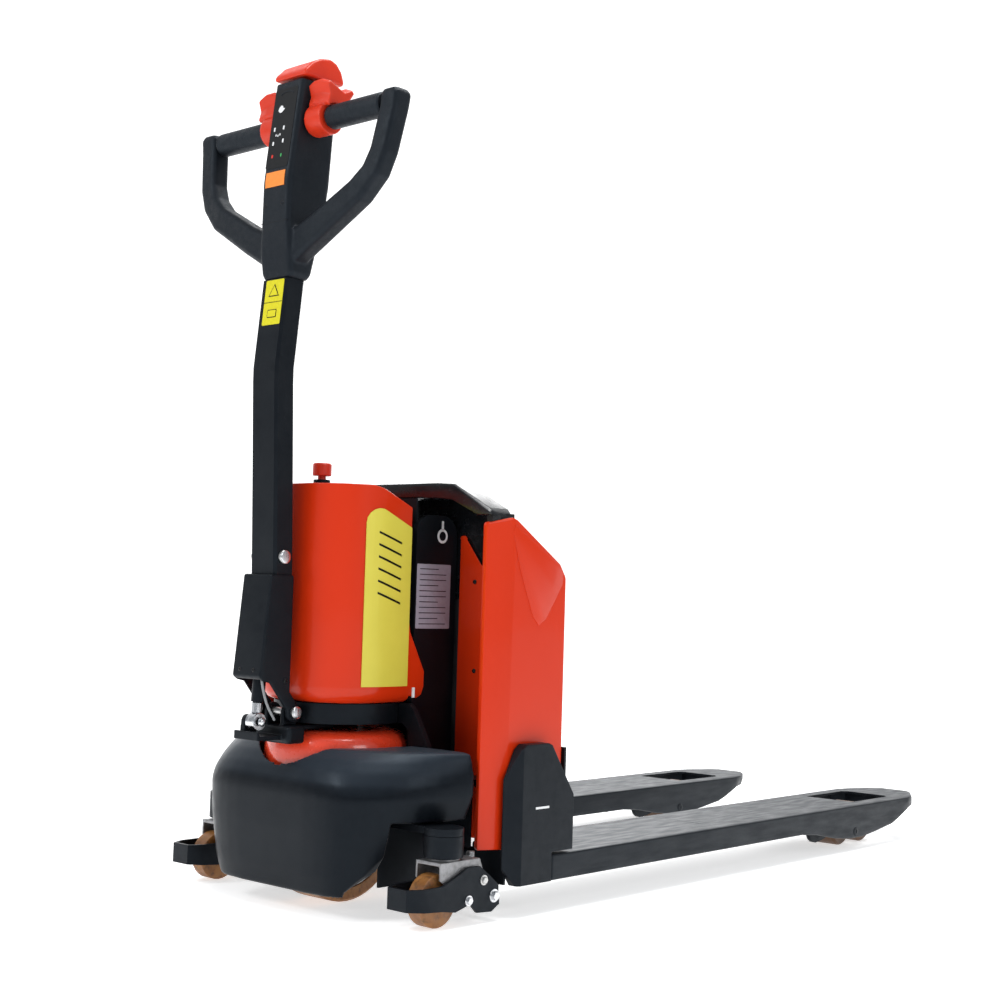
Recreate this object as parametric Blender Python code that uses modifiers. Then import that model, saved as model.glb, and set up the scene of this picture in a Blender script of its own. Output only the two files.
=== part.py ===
"""Electric pallet truck, built as separate solids in metres, +Z up.

+Y runs along the forks and +X is the truck's right-hand side as seen from the
tiller looking at the forks. Lengths along Y are laid out from the heel of the
forks (y = 0 at the rear edge of the heel brackets); FRAME_Y then moves the
whole truck so that the origin is on the floor under the middle of its length.
"""
import math

import bmesh
import bpy
from mathutils import Matrix, Vector

# --- driving dimensions -------------------------------------------------
FRAME_Y = -0.3745          # heel to the middle of the overall length
CLEAR = 0.0005             # gap between pieces that rest on each other

# steering and drive
DRIVE_Y = -0.220           # steering axis and drive wheel centre
DRIVE_R = 0.105
DRIVE_W = 0.070
PLATE_Z = 0.180            # underside of the chassis plate
PLATE_T = 0.010
BEARING_R = 0.0875         # split radius of the slewing bearing
DOME_R = 0.108
DOME_Z = 0.2545

# casters
CASTER_X = 0.237
CASTER_Y = -0.232
CASTER_R = 0.0365
CASTER_TRAIL = 0.021
WING_Z = 0.1245            # underside of the caster mounting wing

# forks
FORK_X = 0.200             # fork centreline
FORK_W = 0.160
FORK_TOP = 0.0834
FORK_T = 0.004
FORK_HEEL = -0.047
FORK_TIP = 1.149
SHOULDER_Y = 1.052         # where the tip starts to narrow
LIFT = 0.115

# load rollers
YOKE_Y = 0.757
YOKE_Z = 0.045
BOGIE_Y = 0.920
WHEEL_R = 0.037
WHEEL_PITCH = 0.080
WHEEL_W = 0.060

# rocker that works the push rods
ROCKER_Y = -0.070
ROCKER_Z = 0.072
ROCKER_ARM = 0.135
CRANK_R = 0.0165

# pump case and column
CASE_HALF = 0.111
CASE_CORNER = 0.088
CASE_FRONT = -0.326
CASE_REAR = -0.158
CASE_BASE = 0.296
CASE_TOP = 0.612
CASE_WALL = 0.003
COLUMN_X = 0.098
COLUMN_T = 0.008
COLUMN_Y = (-0.172, -0.085)
COLUMN_TOP = 0.575
RAM_Y = -0.0940

# battery housing on the fork frame
COVER_X = 0.260
COVER_WALL = 0.003
COVER_BASE = 0.095
COVER_TOP = 0.571
COVER_REAR_TOP = 0.495
ARCH_TOP = 0.622
BRACKET_X = (0.262, 0.280)

# tiller
PIVOT_Y = -0.333
PIVOT_Z = 0.281
EYE_Y = -0.379
EYE_Z = 0.268
PIN_Y = -0.3625
PIN_Z = 0.503
ARM_HALF = 0.0275
ARM_DEPTH = 0.036
ARM_WALL = 0.003
CHEEK_X = 0.031
ARM_TOP = 0.905

# handle
GRIP_Y = -0.337
GRIP_Z = 1.140
GRIP_R = 0.0175
BAR_R = 0.009
LOOP_X = 0.198
FACE_Z0 = 1.050
FACE_Y0 = -0.3815
FACE_SLOPE = 0.1258
HEAD_TOP = 1.201

COLOURS = {
    "red": ((0.72, 0.045, 0.012), 0.30, 0.0),
    "deep_red": ((0.42, 0.020, 0.010), 0.38, 0.0),
    "yellow": ((0.80, 0.68, 0.06), 0.45, 0.0),
    "black_plastic": ((0.014, 0.016, 0.020), 0.42, 0.0),
    "black_paint": ((0.010, 0.011, 0.015), 0.36, 0.2),
    "rubber": ((0.012, 0.013, 0.015), 0.55, 0.0),
    "polyurethane": ((0.56, 0.27, 0.08), 0.40, 0.0),
    "zinc": ((0.55, 0.57, 0.60), 0.32, 1.0),
    "steel": ((0.42, 0.43, 0.45), 0.30, 1.0),
    "battery": ((0.030, 0.034, 0.040), 0.50, 0.0),
    "orange": ((0.90, 0.25, 0.04), 0.45, 0.0),
}

RIGHT, LEFT = 1, -1
SIDE_NAMES = {RIGHT: "right", LEFT: "left"}


# --- scene and mesh helpers ---------------------------------------------
def clear_scene():
    """Remove every object, so the script starts from nothing."""
    for obj in list(bpy.data.objects):
        bpy.data.objects.remove(obj, do_unlink=True)


def new_object(name, bm):
    """Turn a bmesh into a linked object with its faces pointing out."""
    bmesh.ops.remove_doubles(bm, verts=bm.verts, dist=1e-6)
    bmesh.ops.recalc_face_normals(bm, faces=bm.faces)
    mesh = bpy.data.meshes.new(name)
    bm.to_mesh(mesh)
    bm.free()
    obj = bpy.data.objects.new(name, mesh)
    PARTS.objects.link(obj)
    return obj


def box(name, x, y, z):
    """A box between the three (low, high) pairs."""
    bm = bmesh.new()
    bmesh.ops.create_cube(bm, size=1.0)
    size = [hi - lo for lo, hi in (x, y, z)]
    centre = [(hi + lo) / 2 for lo, hi in (x, y, z)]
    bmesh.ops.scale(bm, vec=size, verts=bm.verts)
    bmesh.ops.translate(bm, vec=centre, verts=bm.verts)
    return new_object(name, bm)


def loft(name, rings):
    """A closed solid through rings that all have the same number of points."""
    bm = bmesh.new()
    rows = [[bm.verts.new(p) for p in ring] for ring in rings]
    count = len(rows[0])
    for low, high in zip(rows, rows[1:]):
        for i in range(count):
            j = (i + 1) % count
            bm.faces.new((low[i], low[j], high[j], high[i]))
    bm.faces.new(rows[0])
    bm.faces.new(rows[-1])
    return new_object(name, bm)


def prism(name, outline, axis, low, high):
    """An outline extruded along X, Y or Z; outline pairs follow the other two axes."""
    def place(pair, depth):
        a, b = pair
        return {"X": (depth, a, b), "Y": (a, depth, b), "Z": (a, b, depth)}[axis]
    return loft(name, [[place(p, low) for p in outline], [place(p, high) for p in outline]])


def turned(name, profile, centre, axis="Z", segments=24):
    """A solid of revolution; profile pairs are (radius, height along the axis)."""
    bm = bmesh.new()
    rows = []
    for radius, height in profile:
        if radius < 1e-9:
            rows.append([bm.verts.new((0.0, 0.0, height))])
            continue
        row = []
        for k in range(segments):
            a = 2 * math.pi * k / segments
            row.append(bm.verts.new((radius * math.cos(a), radius * math.sin(a), height)))
        rows.append(row)
    closed = all(len(row) > 1 for row in rows)
    pairs = list(zip(rows, rows[1:])) + ([(rows[-1], rows[0])] if closed else [])
    for low, high in pairs:
        for k in range(segments):
            n = (k + 1) % segments
            if len(low) == 1:
                bm.faces.new((low[0], high[n], high[k]))
            elif len(high) == 1:
                bm.faces.new((low[k], low[n], high[0]))
            else:
                bm.faces.new((low[k], low[n], high[n], high[k]))
    turn = {"Z": Matrix(), "X": Matrix.Rotation(math.pi / 2, 4, "Y"),
            "Y": Matrix.Rotation(-math.pi / 2, 4, "X")}[axis]
    bmesh.ops.transform(bm, matrix=Matrix.Translation(centre) @ turn, verts=bm.verts)
    return new_object(name, bm)


def rod(name, centre, axis, radius, low, high, segments=20):
    """A plain cylinder; low and high are world places along its axis."""
    start = list(centre)
    start["XYZ".index(axis)] = 0.0
    return turned(name, [(0, low), (radius, low), (radius, high), (0, high)], start, axis, segments)


def tube(name, centre, axis, bore, radius, low, high, segments=24):
    """A cylinder with a through bore."""
    start = list(centre)
    start["XYZ".index(axis)] = 0.0
    profile = [(bore, low), (radius, low), (radius, high), (bore, high)]
    return turned(name, profile, start, axis, segments)


def link(name, start, end, radius, segments=16):
    """A cylinder between two points."""
    start, end = Vector(start), Vector(end)
    along = end - start
    bm = bmesh.new()
    bmesh.ops.create_cone(bm, cap_ends=True, segments=segments, radius1=radius, radius2=radius,
                          depth=along.length)
    turn = Vector((0, 0, 1)).rotation_difference(along).to_matrix().to_4x4()
    bmesh.ops.transform(bm, matrix=Matrix.Translation((start + end) / 2) @ turn, verts=bm.verts)
    return new_object(name, bm)


def bake(obj):
    """Apply an object's modifiers to its mesh."""
    bpy.context.view_layer.update()
    graph = bpy.context.evaluated_depsgraph_get()
    mesh = bpy.data.meshes.new_from_object(obj.evaluated_get(graph))
    obj.modifiers.clear()
    obj.data = mesh
    return obj


def combine(obj, others, operation):
    """Join the others to obj, or cut them from it, and remove them."""
    for other in others:
        step = obj.modifiers.new("bool", "BOOLEAN")
        step.operation = operation
        step.solver = "EXACT"
        step.object = other
        bake(obj)
        bpy.data.objects.remove(other, do_unlink=True)
    return obj


def join(obj, *others):
    return combine(obj, others, "UNION")


def cut(obj, *others):
    return combine(obj, others, "DIFFERENCE")


def bevel(obj, width, segments=2, angle=35):
    """Round the edges that are sharper than the angle."""
    step = obj.modifiers.new("bevel", "BEVEL")
    step.width = width
    step.segments = segments
    step.limit_method = "ANGLE"
    step.angle_limit = math.radians(angle)
    return bake(obj)


def inset(outline, amount):
    """A closed outline moved inwards by the amount (counter-clockwise outlines)."""
    result = []
    count = len(outline)
    for i, point in enumerate(outline):
        here = Vector(point)
        back = (here - Vector(outline[i - 1])).normalized()
        on = (Vector(outline[(i + 1) % count]) - here).normalized()
        normal_a = Vector((-back.y, back.x))
        normal_b = Vector((-on.y, on.x))
        mitre = (normal_a + normal_b)
        mitre = mitre / max(mitre.length_squared / 2, 0.35)
        result.append(tuple(here + mitre * amount))
    return result


def mirrored(half):
    """A counter-clockwise outline from its +X half, listed from front to back."""
    return half + [(-x, y) for x, y in reversed(half) if x > 1e-9]


def arc(cx, cy, radius, start, end, steps):
    """Points on an arc, in degrees."""
    points = []
    for k in range(steps + 1):
        a = math.radians(start + (end - start) * k / steps)
        points.append((cx + radius * math.cos(a), cy + radius * math.sin(a)))
    return points


def finish(obj, colour, pivot=None):
    """Give a piece its material and put its origin on its joint, or at its middle."""
    base, rough, metal = COLOURS[colour]
    mat = bpy.data.materials.new(obj.name)
    mat.use_nodes = True
    shader = mat.node_tree.nodes["Principled BSDF"]
    shader.inputs["Base Color"].default_value = (*base, 1.0)
    shader.inputs["Roughness"].default_value = rough
    shader.inputs["Metallic"].default_value = metal
    obj.data.materials.clear()
    obj.data.materials.append(mat)
    bm = bmesh.new()
    bm.from_mesh(obj.data)
    bmesh.ops.remove_doubles(bm, verts=bm.verts, dist=1e-5)
    bmesh.ops.dissolve_degenerate(bm, edges=bm.edges, dist=1e-5)
    bmesh.ops.recalc_face_normals(bm, faces=bm.faces)
    bm.to_mesh(obj.data)
    bm.free()
    origin = Vector(pivot) if pivot else sum((v.co for v in obj.data.vertices), Vector()) / len(
        obj.data.vertices)
    obj.data.transform(Matrix.Translation(-origin))
    obj.location = origin + Vector((0, FRAME_Y, 0))
    return obj


def span(side, low, high):
    """An X range on one side of the truck, in rising order."""
    return tuple(sorted((side * low, side * high)))


# --- chassis ------------------------------------------------------------
def build_chassis_frame():
    """Plate with the steering ring, caster wings and the two column plates."""
    top = PLATE_Z + PLATE_T
    frame = rod("chassis_frame", (0, DRIVE_Y, 0), "Z", 0.102, PLATE_Z, top, 36)
    rear, notch = -0.0965, -0.135
    plate = mirrored([(0.0, rear), (0.115, rear), (0.115, notch), (0.135, notch), (0.135, rear),
                      (0.205, rear), (0.205, -0.235), (0.0, -0.235)])
    pieces = [prism("plate", plate, "Z", PLATE_Z, top),
              box("ram_seat", (-0.040, 0.040), (-0.0980, -0.0795), (PLATE_Z, top)),
              box("web", (-COLUMN_X - 0.001, COLUMN_X + 0.001), (-0.171, -0.165), (0.330, 0.560))]
    y0, y1 = COLUMN_Y
    for side in (RIGHT, LEFT):
        profile = [(y0, top - 0.002), (y1, top - 0.002), (y1, COLUMN_TOP - 0.03)]
        profile += arc(y1 - 0.03, COLUMN_TOP - 0.03, 0.03, 0, 90, 5)[1:]
        profile += arc(y0 + 0.03, COLUMN_TOP - 0.03, 0.03, 90, 180, 5)
        pieces.append(prism("column", profile, "X", *span(side, COLUMN_X, COLUMN_X + COLUMN_T)))
        pieces.append(box("hanger", span(side, 0.136, 0.146), (-0.262, -0.160),
                          (WING_Z + 0.001, PLATE_Z + 0.002)))
        pieces.append(box("guard", span(side, 0.1365, 0.1405), (-0.2610, -0.165),
                          (0.040, WING_Z + 0.002)))
        pieces.append(box("wing", span(side, 0.137, CASTER_X), (CASTER_Y - 0.017, CASTER_Y + 0.024),
                          (WING_Z, WING_Z + 0.010)))
        pieces.append(rod("disc", (side * CASTER_X, CASTER_Y, 0), "Z", 0.028, WING_Z,
                          WING_Z + 0.010))
        pieces.append(rod("rocker_stop", (0, -0.190, 0.1375), "X", 0.005,
                          *span(side, 0.133, 0.140)))
    join(frame, *pieces)
    cut(frame, rod("hole", (0, DRIVE_Y, 0), "Z", 0.0975, PLATE_Z - 0.01, top + 0.002, 36))
    return finish(frame, "black_paint")


def build_bearing_race():
    """Fixed outer race of the slewing bearing, let into the chassis plate."""
    race = tube("slewing_bearing_race", (0, DRIVE_Y, 0), "Z", BEARING_R + 0.0005, 0.0970,
                PLATE_Z - 0.004, PLATE_Z + PLATE_T, 36)
    return finish(race, "steel")


def cover_outline(front, front_x, corner, side_point, rear_x):
    """One level of the base cover, from its front to its back edge."""
    return mirrored([(0.0, front), (front_x, front), corner, side_point, (rear_x, -0.172)])


def base_cover_levels():
    """Height and outline of each level of the base cover."""
    return [(0.028, cover_outline(-0.334, 0.100, (0.132, -0.319), (0.152, -0.284), 0.165)),
            (0.060, cover_outline(-0.340, 0.108, (0.140, -0.322), (0.172, -0.282), 0.190)),
            (0.172, cover_outline(-0.345, 0.112, (0.150, -0.323), (0.208, -0.266), 0.238)),
            (0.205, cover_outline(-0.333, 0.106, (0.143, -0.311), (0.201, -0.258), 0.236)),
            (0.232, cover_outline(-0.309, 0.096, (0.131, -0.291), (0.186, -0.244), 0.229))]


def build_base_cover():
    """Moulded bumper over the drive wheel, open below and around the dome."""
    levels = base_cover_levels()
    cover = loft("base_cover", [[(x, y, z) for x, y in ring] for z, ring in levels])
    bevel(cover, 0.007, 3, 24)
    arch = [(0.126, -0.013), (0.129, 0.025), (0.1345, 0.0394), (0.1588, 0.0637), (0.1775, 0.0915),
            (0.1869, 0.1065), (0.1942, 0.1210), (0.2018, 0.1330), (0.2114, 0.1368), (0.2250, 0.1385),
            (0.310, 0.1385), (0.310, -0.013)]
    for side in (RIGHT, LEFT):
        cut(cover, prism("arch", [(side * x, z) for x, z in arch], "Y", -0.401, -0.101))
    cut(cover, box("rear_low", (-0.31, 0.31), (-0.287, -0.11), (-0.01, 0.1375)))
    back = COLUMN_X + 0.012
    cut(cover, box("rear_open", (-back, back), (-0.205, -0.12), (0.10, 0.31)))
    wall = 0.004
    depths = [0.0] + [z for z, _ in levels[1:-1]] + [0.228]
    inner = []
    for depth, (_, ring) in zip(depths, levels):
        inner.append([(x, y if y < -0.18 else y + 0.030, depth) for x, y in inset(ring, wall)])
    cut(cover, loft("cavity", inner))
    cut(cover, rod("dome_hole", (0, DRIVE_Y, 0), "Z", DOME_R + 0.004, 0.1, 0.3, 48))
    return finish(cover, "black_plastic")


def case_outline():
    """Plan of the pump case: flat front, round corners and straight sides."""
    corner = CASE_CORNER
    half = [(0.0, CASE_FRONT)]
    half += arc(CASE_HALF - corner, CASE_FRONT + corner, corner, -90, 0, 8)
    half += [(CASE_HALF, -0.186), (CASE_HALF + 0.006, CASE_REAR)]
    return mirrored(half)


def build_pump_case():
    """Red housing of the pump and controller, open at the back and below."""
    outline = case_outline()
    levels = [(CASE_BASE, 0.016), (CASE_BASE + 0.004, 0.008), (CASE_BASE + 0.012, 0.002),
              (CASE_BASE + 0.024, 0.0), (CASE_TOP, 0.0)]
    case = loft("pump_case", [[(x, y, z) for x, y in inset(outline, d)] for z, d in levels])
    slope = [(-0.262, CASE_TOP), (-0.245, CASE_TOP - 0.004), (-0.175, 0.578), (-0.100, 0.545),
             (-0.100, 0.70), (-0.262, 0.70)]
    cut(case, prism("top_slope", slope, "X", -0.2, 0.2))
    rear = [(-0.155, 0.30), (-0.155, 0.335), (-0.184, 0.400), (-0.187, 0.420), (-0.187, 0.62),
            (-0.10, 0.62), (-0.10, 0.30)]
    cut(case, prism("rear_edge", rear, "X", -0.2, 0.2))
    bevel(case, 0.007, 3, 32)
    inner = [[(x, y + (0.06 if y > -0.2 else 0.0), z) for x, y in inset(outline, d + CASE_WALL)]
             for z, d in [(CASE_BASE - 0.01, 0.016)] + levels[:-1]]
    inner.append([(x, y, CASE_TOP - 0.050) for x, y, _ in inner[-1]])
    cut(case, loft("cavity", inner),
        box("column_room", (-0.1085, 0.1085), (-0.181, -0.10), (0.28, 0.34)))
    return finish(case, "red")


def panel_path(offset):
    """Plan line of the yellow panel, a set distance outside the pump case."""
    corner = CASE_CORNER
    points = arc(CASE_HALF - corner, CASE_FRONT + corner, corner + offset, -24, 0, 3)
    return points + [(CASE_HALF + offset, -0.1895)]


def build_vent_panel(side):
    """Yellow side panel with six slanted vent slots."""
    outer = panel_path(0.0020)
    inner = panel_path(CLEAR)
    plan = [(side * x, y) for x, y in outer + inner[::-1]]
    panel = prism("vent_panel_" + SIDE_NAMES[side], plan, "Z", 0.3205, 0.600)
    top = arc(-0.252, 0.5565, 0.022, 180, 75, 5) + [(-0.186, 0.5515), (-0.150, 0.5380), (-0.150, 0.70),
                                                    (-0.300, 0.70), (-0.300, 0.5565)]
    cut(panel, prism("top_cut", top, "X", *span(side, 0.05, 0.16)))
    for k in range(6):
        z = 0.5440 - 0.0176 * k
        slot = [(-0.2545, z + 0.0018), (-0.2545, z - 0.0018), (-0.2090, z - 0.0168),
                (-0.2090, z - 0.0132)]
        cut(panel, prism("slot", slot, "X", *span(side, 0.08, 0.16)))
    return finish(panel, "yellow")


def build_support_ring():
    """Bowed strap that carries the pump case, with its two gusset feet."""
    ring = tube("support_ring", (0, DRIVE_Y, 0), "Z", 0.088, 0.096, 0.265, 0.2945, 48)
    cut(ring, box("rear", (-0.2, 0.2), (-0.176, 0.0), (0.2, 0.4)))
    for side in (RIGHT, LEFT):
        profile = [(0.078, 0.265), (0.100, 0.265), (0.113, 0.255), (0.113, 0.2325),
                   (0.152, 0.2325), (0.152, 0.2365), (0.122, 0.2860), (0.112, 0.2945),
                   (0.078, 0.2945)]
        profile = [(side * x, z) for x, z in profile]
        join(ring, prism("gusset", profile, "Y", -0.184, -0.1745))
    return finish(ring, "black_paint")


def build_stop_button():
    """Emergency stop: fixed collar on the case and the red knob that presses in."""
    place = (0, -0.270, 0)
    low = CASE_TOP + CLEAR
    collar = tube("stop_collar", place, "Z", 0.0065, 0.0125, low, low + 0.0085)
    finish(collar, "black_plastic")
    knob = turned("stop_knob", [(0, low + 0.0070), (0.006, low + 0.0070), (0.006, low + 0.0145),
                                (0.0135, low + 0.0145), (0.0140, low + 0.0160),
                                (0.0140, low + 0.0310), (0.0125, low + 0.0330), (0, low + 0.0330)],
                  place, "Z", 24)
    finish(knob, "red", (0, -0.270, low + 0.0145))


def build_power_pack():
    """Pump motor, oil tank and controller inside the case, and the lift cylinder."""
    motor = rod("pump_motor", (0, -0.252, 0), "Z", 0.040, 0.310, 0.440)
    join(motor, rod("valve_block", (0, -0.252, 0), "Z", 0.030, 0.4395, 0.470))
    finish(motor, "steel")
    tank = box("oil_tank", (-0.062, 0.062), (-0.206, -0.176), (0.315, 0.500))
    finish(bevel(tank, 0.004), "black_plastic")
    board = box("motor_controller", (-0.055, 0.055), (-0.300, -0.215), (0.485, 0.540))
    finish(bevel(board, 0.003), "battery")
    low = PLATE_Z + PLATE_T + CLEAR
    barrel = turned("lift_cylinder", [(0, low), (0.0145, low), (0.0145, 0.500), (0.0095, 0.500),
                                      (0.0095, 0.215), (0, 0.215)], (0, RAM_Y, 0), "Z", 24)
    finish(barrel, "black_paint")
    ram = rod("lift_rod", (0, RAM_Y, 0), "Z", 0.009, 0.235, 0.5975)
    finish(ram, "steel", (0, RAM_Y, 0.235))


# --- steering and drive -------------------------------------------------
def build_drive_unit():
    """Steered fork with its inner race, and the hub motor with its brake."""
    race, low = BEARING_R - 0.0005, PLATE_Z + 0.006
    yoke = turned("drive_yoke", [(0, 0.2225), (race, 0.2225), (race, low), (0.078, low),
                                 (0.078, 0.2135), (0, 0.2135)], (0, DRIVE_Y, 0), "Z", 36)
    pieces = []
    for side in (RIGHT, LEFT):
        pieces.append(box("leg", span(side, 0.040, 0.050), (DRIVE_Y - 0.032, DRIVE_Y + 0.032),
                          (DRIVE_R, 0.2145)))
        pieces.append(rod("foot", (0, DRIVE_Y, DRIVE_R), "X", 0.032, *span(side, 0.040, 0.050)))
    join(yoke, *pieces)
    cut(yoke, rod("axle_hole", (0, DRIVE_Y, DRIVE_R), "X", 0.0123, -0.06, 0.06))
    finish(yoke, "black_paint", (0, DRIVE_Y, PLATE_Z))
    motor = turned("hub_motor", [(0, -0.055), (0.012, -0.055), (0.012, -0.033), (0.050, -0.033),
                                 (0.050, 0.033), (0.012, 0.033), (0.012, 0.055), (0, 0.055)],
                   (0, DRIVE_Y, DRIVE_R), "X", 28)
    finish(motor, "steel", (0, DRIVE_Y, DRIVE_R))


def build_drive_wheel():
    """Steel wheel ring around the hub motor, with its polyurethane tread."""
    half = DRIVE_W / 2
    rim = turned("drive_rim", [(0.0505, -half + 0.004), (0.085, -half + 0.002), (0.085, half - 0.002),
                               (0.0505, half - 0.004)], (0, DRIVE_Y, DRIVE_R), "X", 36)
    finish(rim, "zinc", (0, DRIVE_Y, DRIVE_R))
    tread = turned("drive_tread", [(0.0852, -half), (DRIVE_R - 0.004, -half), (DRIVE_R, -half + 0.004),
                                   (DRIVE_R, half - 0.004), (DRIVE_R - 0.004, half), (0.0852, half)],
                   (0, DRIVE_Y, DRIVE_R), "X", 48)
    finish(tread, "polyurethane", (0, DRIVE_Y, DRIVE_R))


def build_dome_cover():
    """Red cover over the top of the drive unit; it turns with the tiller."""
    wall = 0.003
    outer = [(DOME_R, 0.192), (DOME_R, 0.226), (DOME_R - 0.003, 0.238), (DOME_R - 0.010, 0.247),
             (DOME_R - 0.020, 0.2525), (DOME_R - 0.032, DOME_Z), (0, DOME_Z)]
    inner = [(0, DOME_Z - wall), (DOME_R - 0.032, DOME_Z - wall), (DOME_R - 0.022, 0.2492),
             (DOME_R - 0.0125, 0.2445), (DOME_R - wall - 0.003, 0.236), (DOME_R - wall, 0.226),
             (DOME_R - wall, 0.192)]
    dome = turned("dome_cover", inner + outer, (0, DRIVE_Y, 0), "Z", 40)
    return finish(dome, "red", (0, DRIVE_Y, 0.192))


def build_tiller_bracket():
    """Bracket on top of the drive unit with the pivot lugs and the spring stud."""
    bracket = box("tiller_bracket", (-0.041, 0.041), (-0.352, -0.318), (0.237, 0.2625))
    bevel(bracket, 0.005, 2)
    cut(bracket, rod("dome_room", (0, DRIVE_Y, 0), "Z", DOME_R + 0.0015, 0.22, DOME_Z + 0.0010, 40))
    join(bracket, box("tongue", (-0.030, 0.030), (-0.345, -0.255), (DOME_Z + 0.0012, 0.2620)),
         box("shelf", (-0.026, 0.026), (-0.3955, -0.348), (0.243, 0.249)),
         box("lip", (-0.026, 0.026), (-0.3965, -0.3925), (0.243, 0.2550)))
    lug = [(-0.350, 0.250), (-0.321, 0.250), (-0.320, PIVOT_Z)]
    lug += arc(PIVOT_Y, PIVOT_Z, 0.013, 0, 180, 8) + [(-0.3465, 0.262)]
    for side in (RIGHT, LEFT):
        join(bracket, prism("lug", lug, "X", *span(side, 0.014, 0.021)))
    ear = [(-0.391, 0.247), (-0.367, 0.247)] + arc(EYE_Y, EYE_Z, 0.010, 0, 180, 8)
    join(bracket, prism("ear", ear, "X", -0.021, -0.011))
    join(bracket, rod("stud", (0, EYE_Y, EYE_Z), "X", 0.005, -0.012, 0.0125, 20))
    cut(bracket, rod("pivot_hole", (0, PIVOT_Y, PIVOT_Z), "X", 0.0065, -0.03, 0.03, 20))
    return finish(bracket, "black_paint", (0, DRIVE_Y, 0.2555))


# --- tiller -------------------------------------------------------------
def arm_ring(z, front, half, depth):
    """One level of the arm: a rectangle with cut corners."""
    c = 0.004
    rear = front + depth
    plan = [(-half + c, front), (half - c, front), (half, front + c), (half, rear - c),
            (half - c, rear), (-half + c, rear), (-half, rear - c), (-half, front + c)]
    return [(x, y, z) for x, y in plan]


def build_tiller_arm():
    """Bent box tube welded into the folded channel that holds the gas spring."""
    stations = [(0.455, -0.3765), (0.620, -0.3830), (0.755, -0.3888), (0.775, -0.3890),
                (ARM_TOP, -0.3760)]
    arm = loft("tiller_arm", [arm_ring(z, y, ARM_HALF, ARM_DEPTH) for z, y in stations])
    w = ARM_WALL
    longer = [(0.440, -0.3760)] + stations[1:-1] + [(ARM_TOP + 0.010, -0.3750)]
    bore = loft("bore", [arm_ring(z, y + w, ARM_HALF - w, ARM_DEPTH - 2 * w) for z, y in longer])
    profile = [(-0.343, 0.478), (-0.386, 0.478), (-0.4003, 0.332), (-0.3930, 0.3270),
               (-0.3800, 0.3240), (-0.3490, 0.2860)]
    profile += arc(PIVOT_Y, PIVOT_Z, 0.0150, 180, 370, 8) + [(-0.3300, 0.2955), (-0.343, 0.3110)]
    shell = prism("channel", profile, "X", -CHEEK_X, CHEEK_X)
    bevel(shell, 0.003, 2, 40)
    room = [(-0.300, 0.4550), (-0.3800, 0.4550), (-0.3810, 0.4740), (-0.3963, 0.325), (-0.3963, 0.25),
            (-0.300, 0.25)]
    cut(shell, prism("room", room, "X", -ARM_HALF + 0.0003, ARM_HALF - 0.0003))
    join(arm, shell)
    cut(arm, bore, rod("pin_hole", (0, PIN_Y, PIN_Z), "X", 0.0061, -0.05, 0.05, 20),
        rod("pivot_hole", (0, PIVOT_Y, PIVOT_Z), "X", 0.0061, -0.05, 0.05, 20))
    finish(arm, "black_paint", (0, PIVOT_Y, PIVOT_Z))


def headed_pin(name, y, z, radius, head, reach):
    """A cross pin with a thin round head at each end."""
    profile = [(0, -reach - 0.005), (head - 0.001, -reach - 0.005), (head, -reach - 0.004),
               (head, -reach), (radius, -reach), (radius, reach), (head, reach),
               (head, reach + 0.004), (head - 0.001, reach + 0.005), (0, reach + 0.005)]
    pin = turned(name, profile, (0, y, z), "X", 24)
    return finish(pin, "zinc", (0, y, z))


def build_gas_spring():
    """Spring body on the bracket stud, and the rod that slides out of its top."""
    foot = Vector((0, EYE_Y, EYE_Z))
    along = (Vector((0, PIN_Y, PIN_Z)) - foot).normalized()

    def at(distance):
        return foot + along * distance

    body = tube("gas_spring_body", foot, "X", 0.0055, 0.0120, -0.0080, 0.0080, 24)
    join(body, link("neck", at(0.0090), at(0.0300), 0.0065), link("barrel", at(0.0280), at(0.1150), 0.0095))
    cut(body, link("bore", at(0.0300), at(0.1250), 0.0045, 16))
    finish(body, "black_paint", tuple(foot))
    piston = link("gas_spring_rod", at(0.0910), at(0.1650), 0.0040, 16)
    finish(piston, "steel", tuple(at(0.0910)))


def face_y(z):
    """Depth of the sloping control face at a height."""
    return FACE_Y0 + (z - FACE_Z0) * FACE_SLOPE


def head_ring(z, front, rear, half):
    """One level of the handle's spine: a rectangle with cut corners."""
    c = 0.005
    plan = [(-half + c, front), (half - c, front), (half, front + c), (half, rear - c),
            (half - c, rear), (-half + c, rear), (-half, rear - c), (-half, front + c)]
    return [(x, y, z) for x, y in plan]


def loop_ring(centre, along, width, depth):
    """A section of the handle loop, across its direction in the XZ plane."""
    across = Vector((along[1], 0, -along[0]))
    centre = Vector(centre)
    c = 0.30
    plan = [(-1, -1 + c), (-1 + c, -1), (1 - c, -1), (1, -1 + c), (1, 1 - c), (1 - c, 1),
            (-1 + c, 1), (-1, 1 - c)]
    return [tuple(centre + across * (a * width / 2) + Vector((0, b * depth / 2, 0)))
            for a, b in plan]


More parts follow.
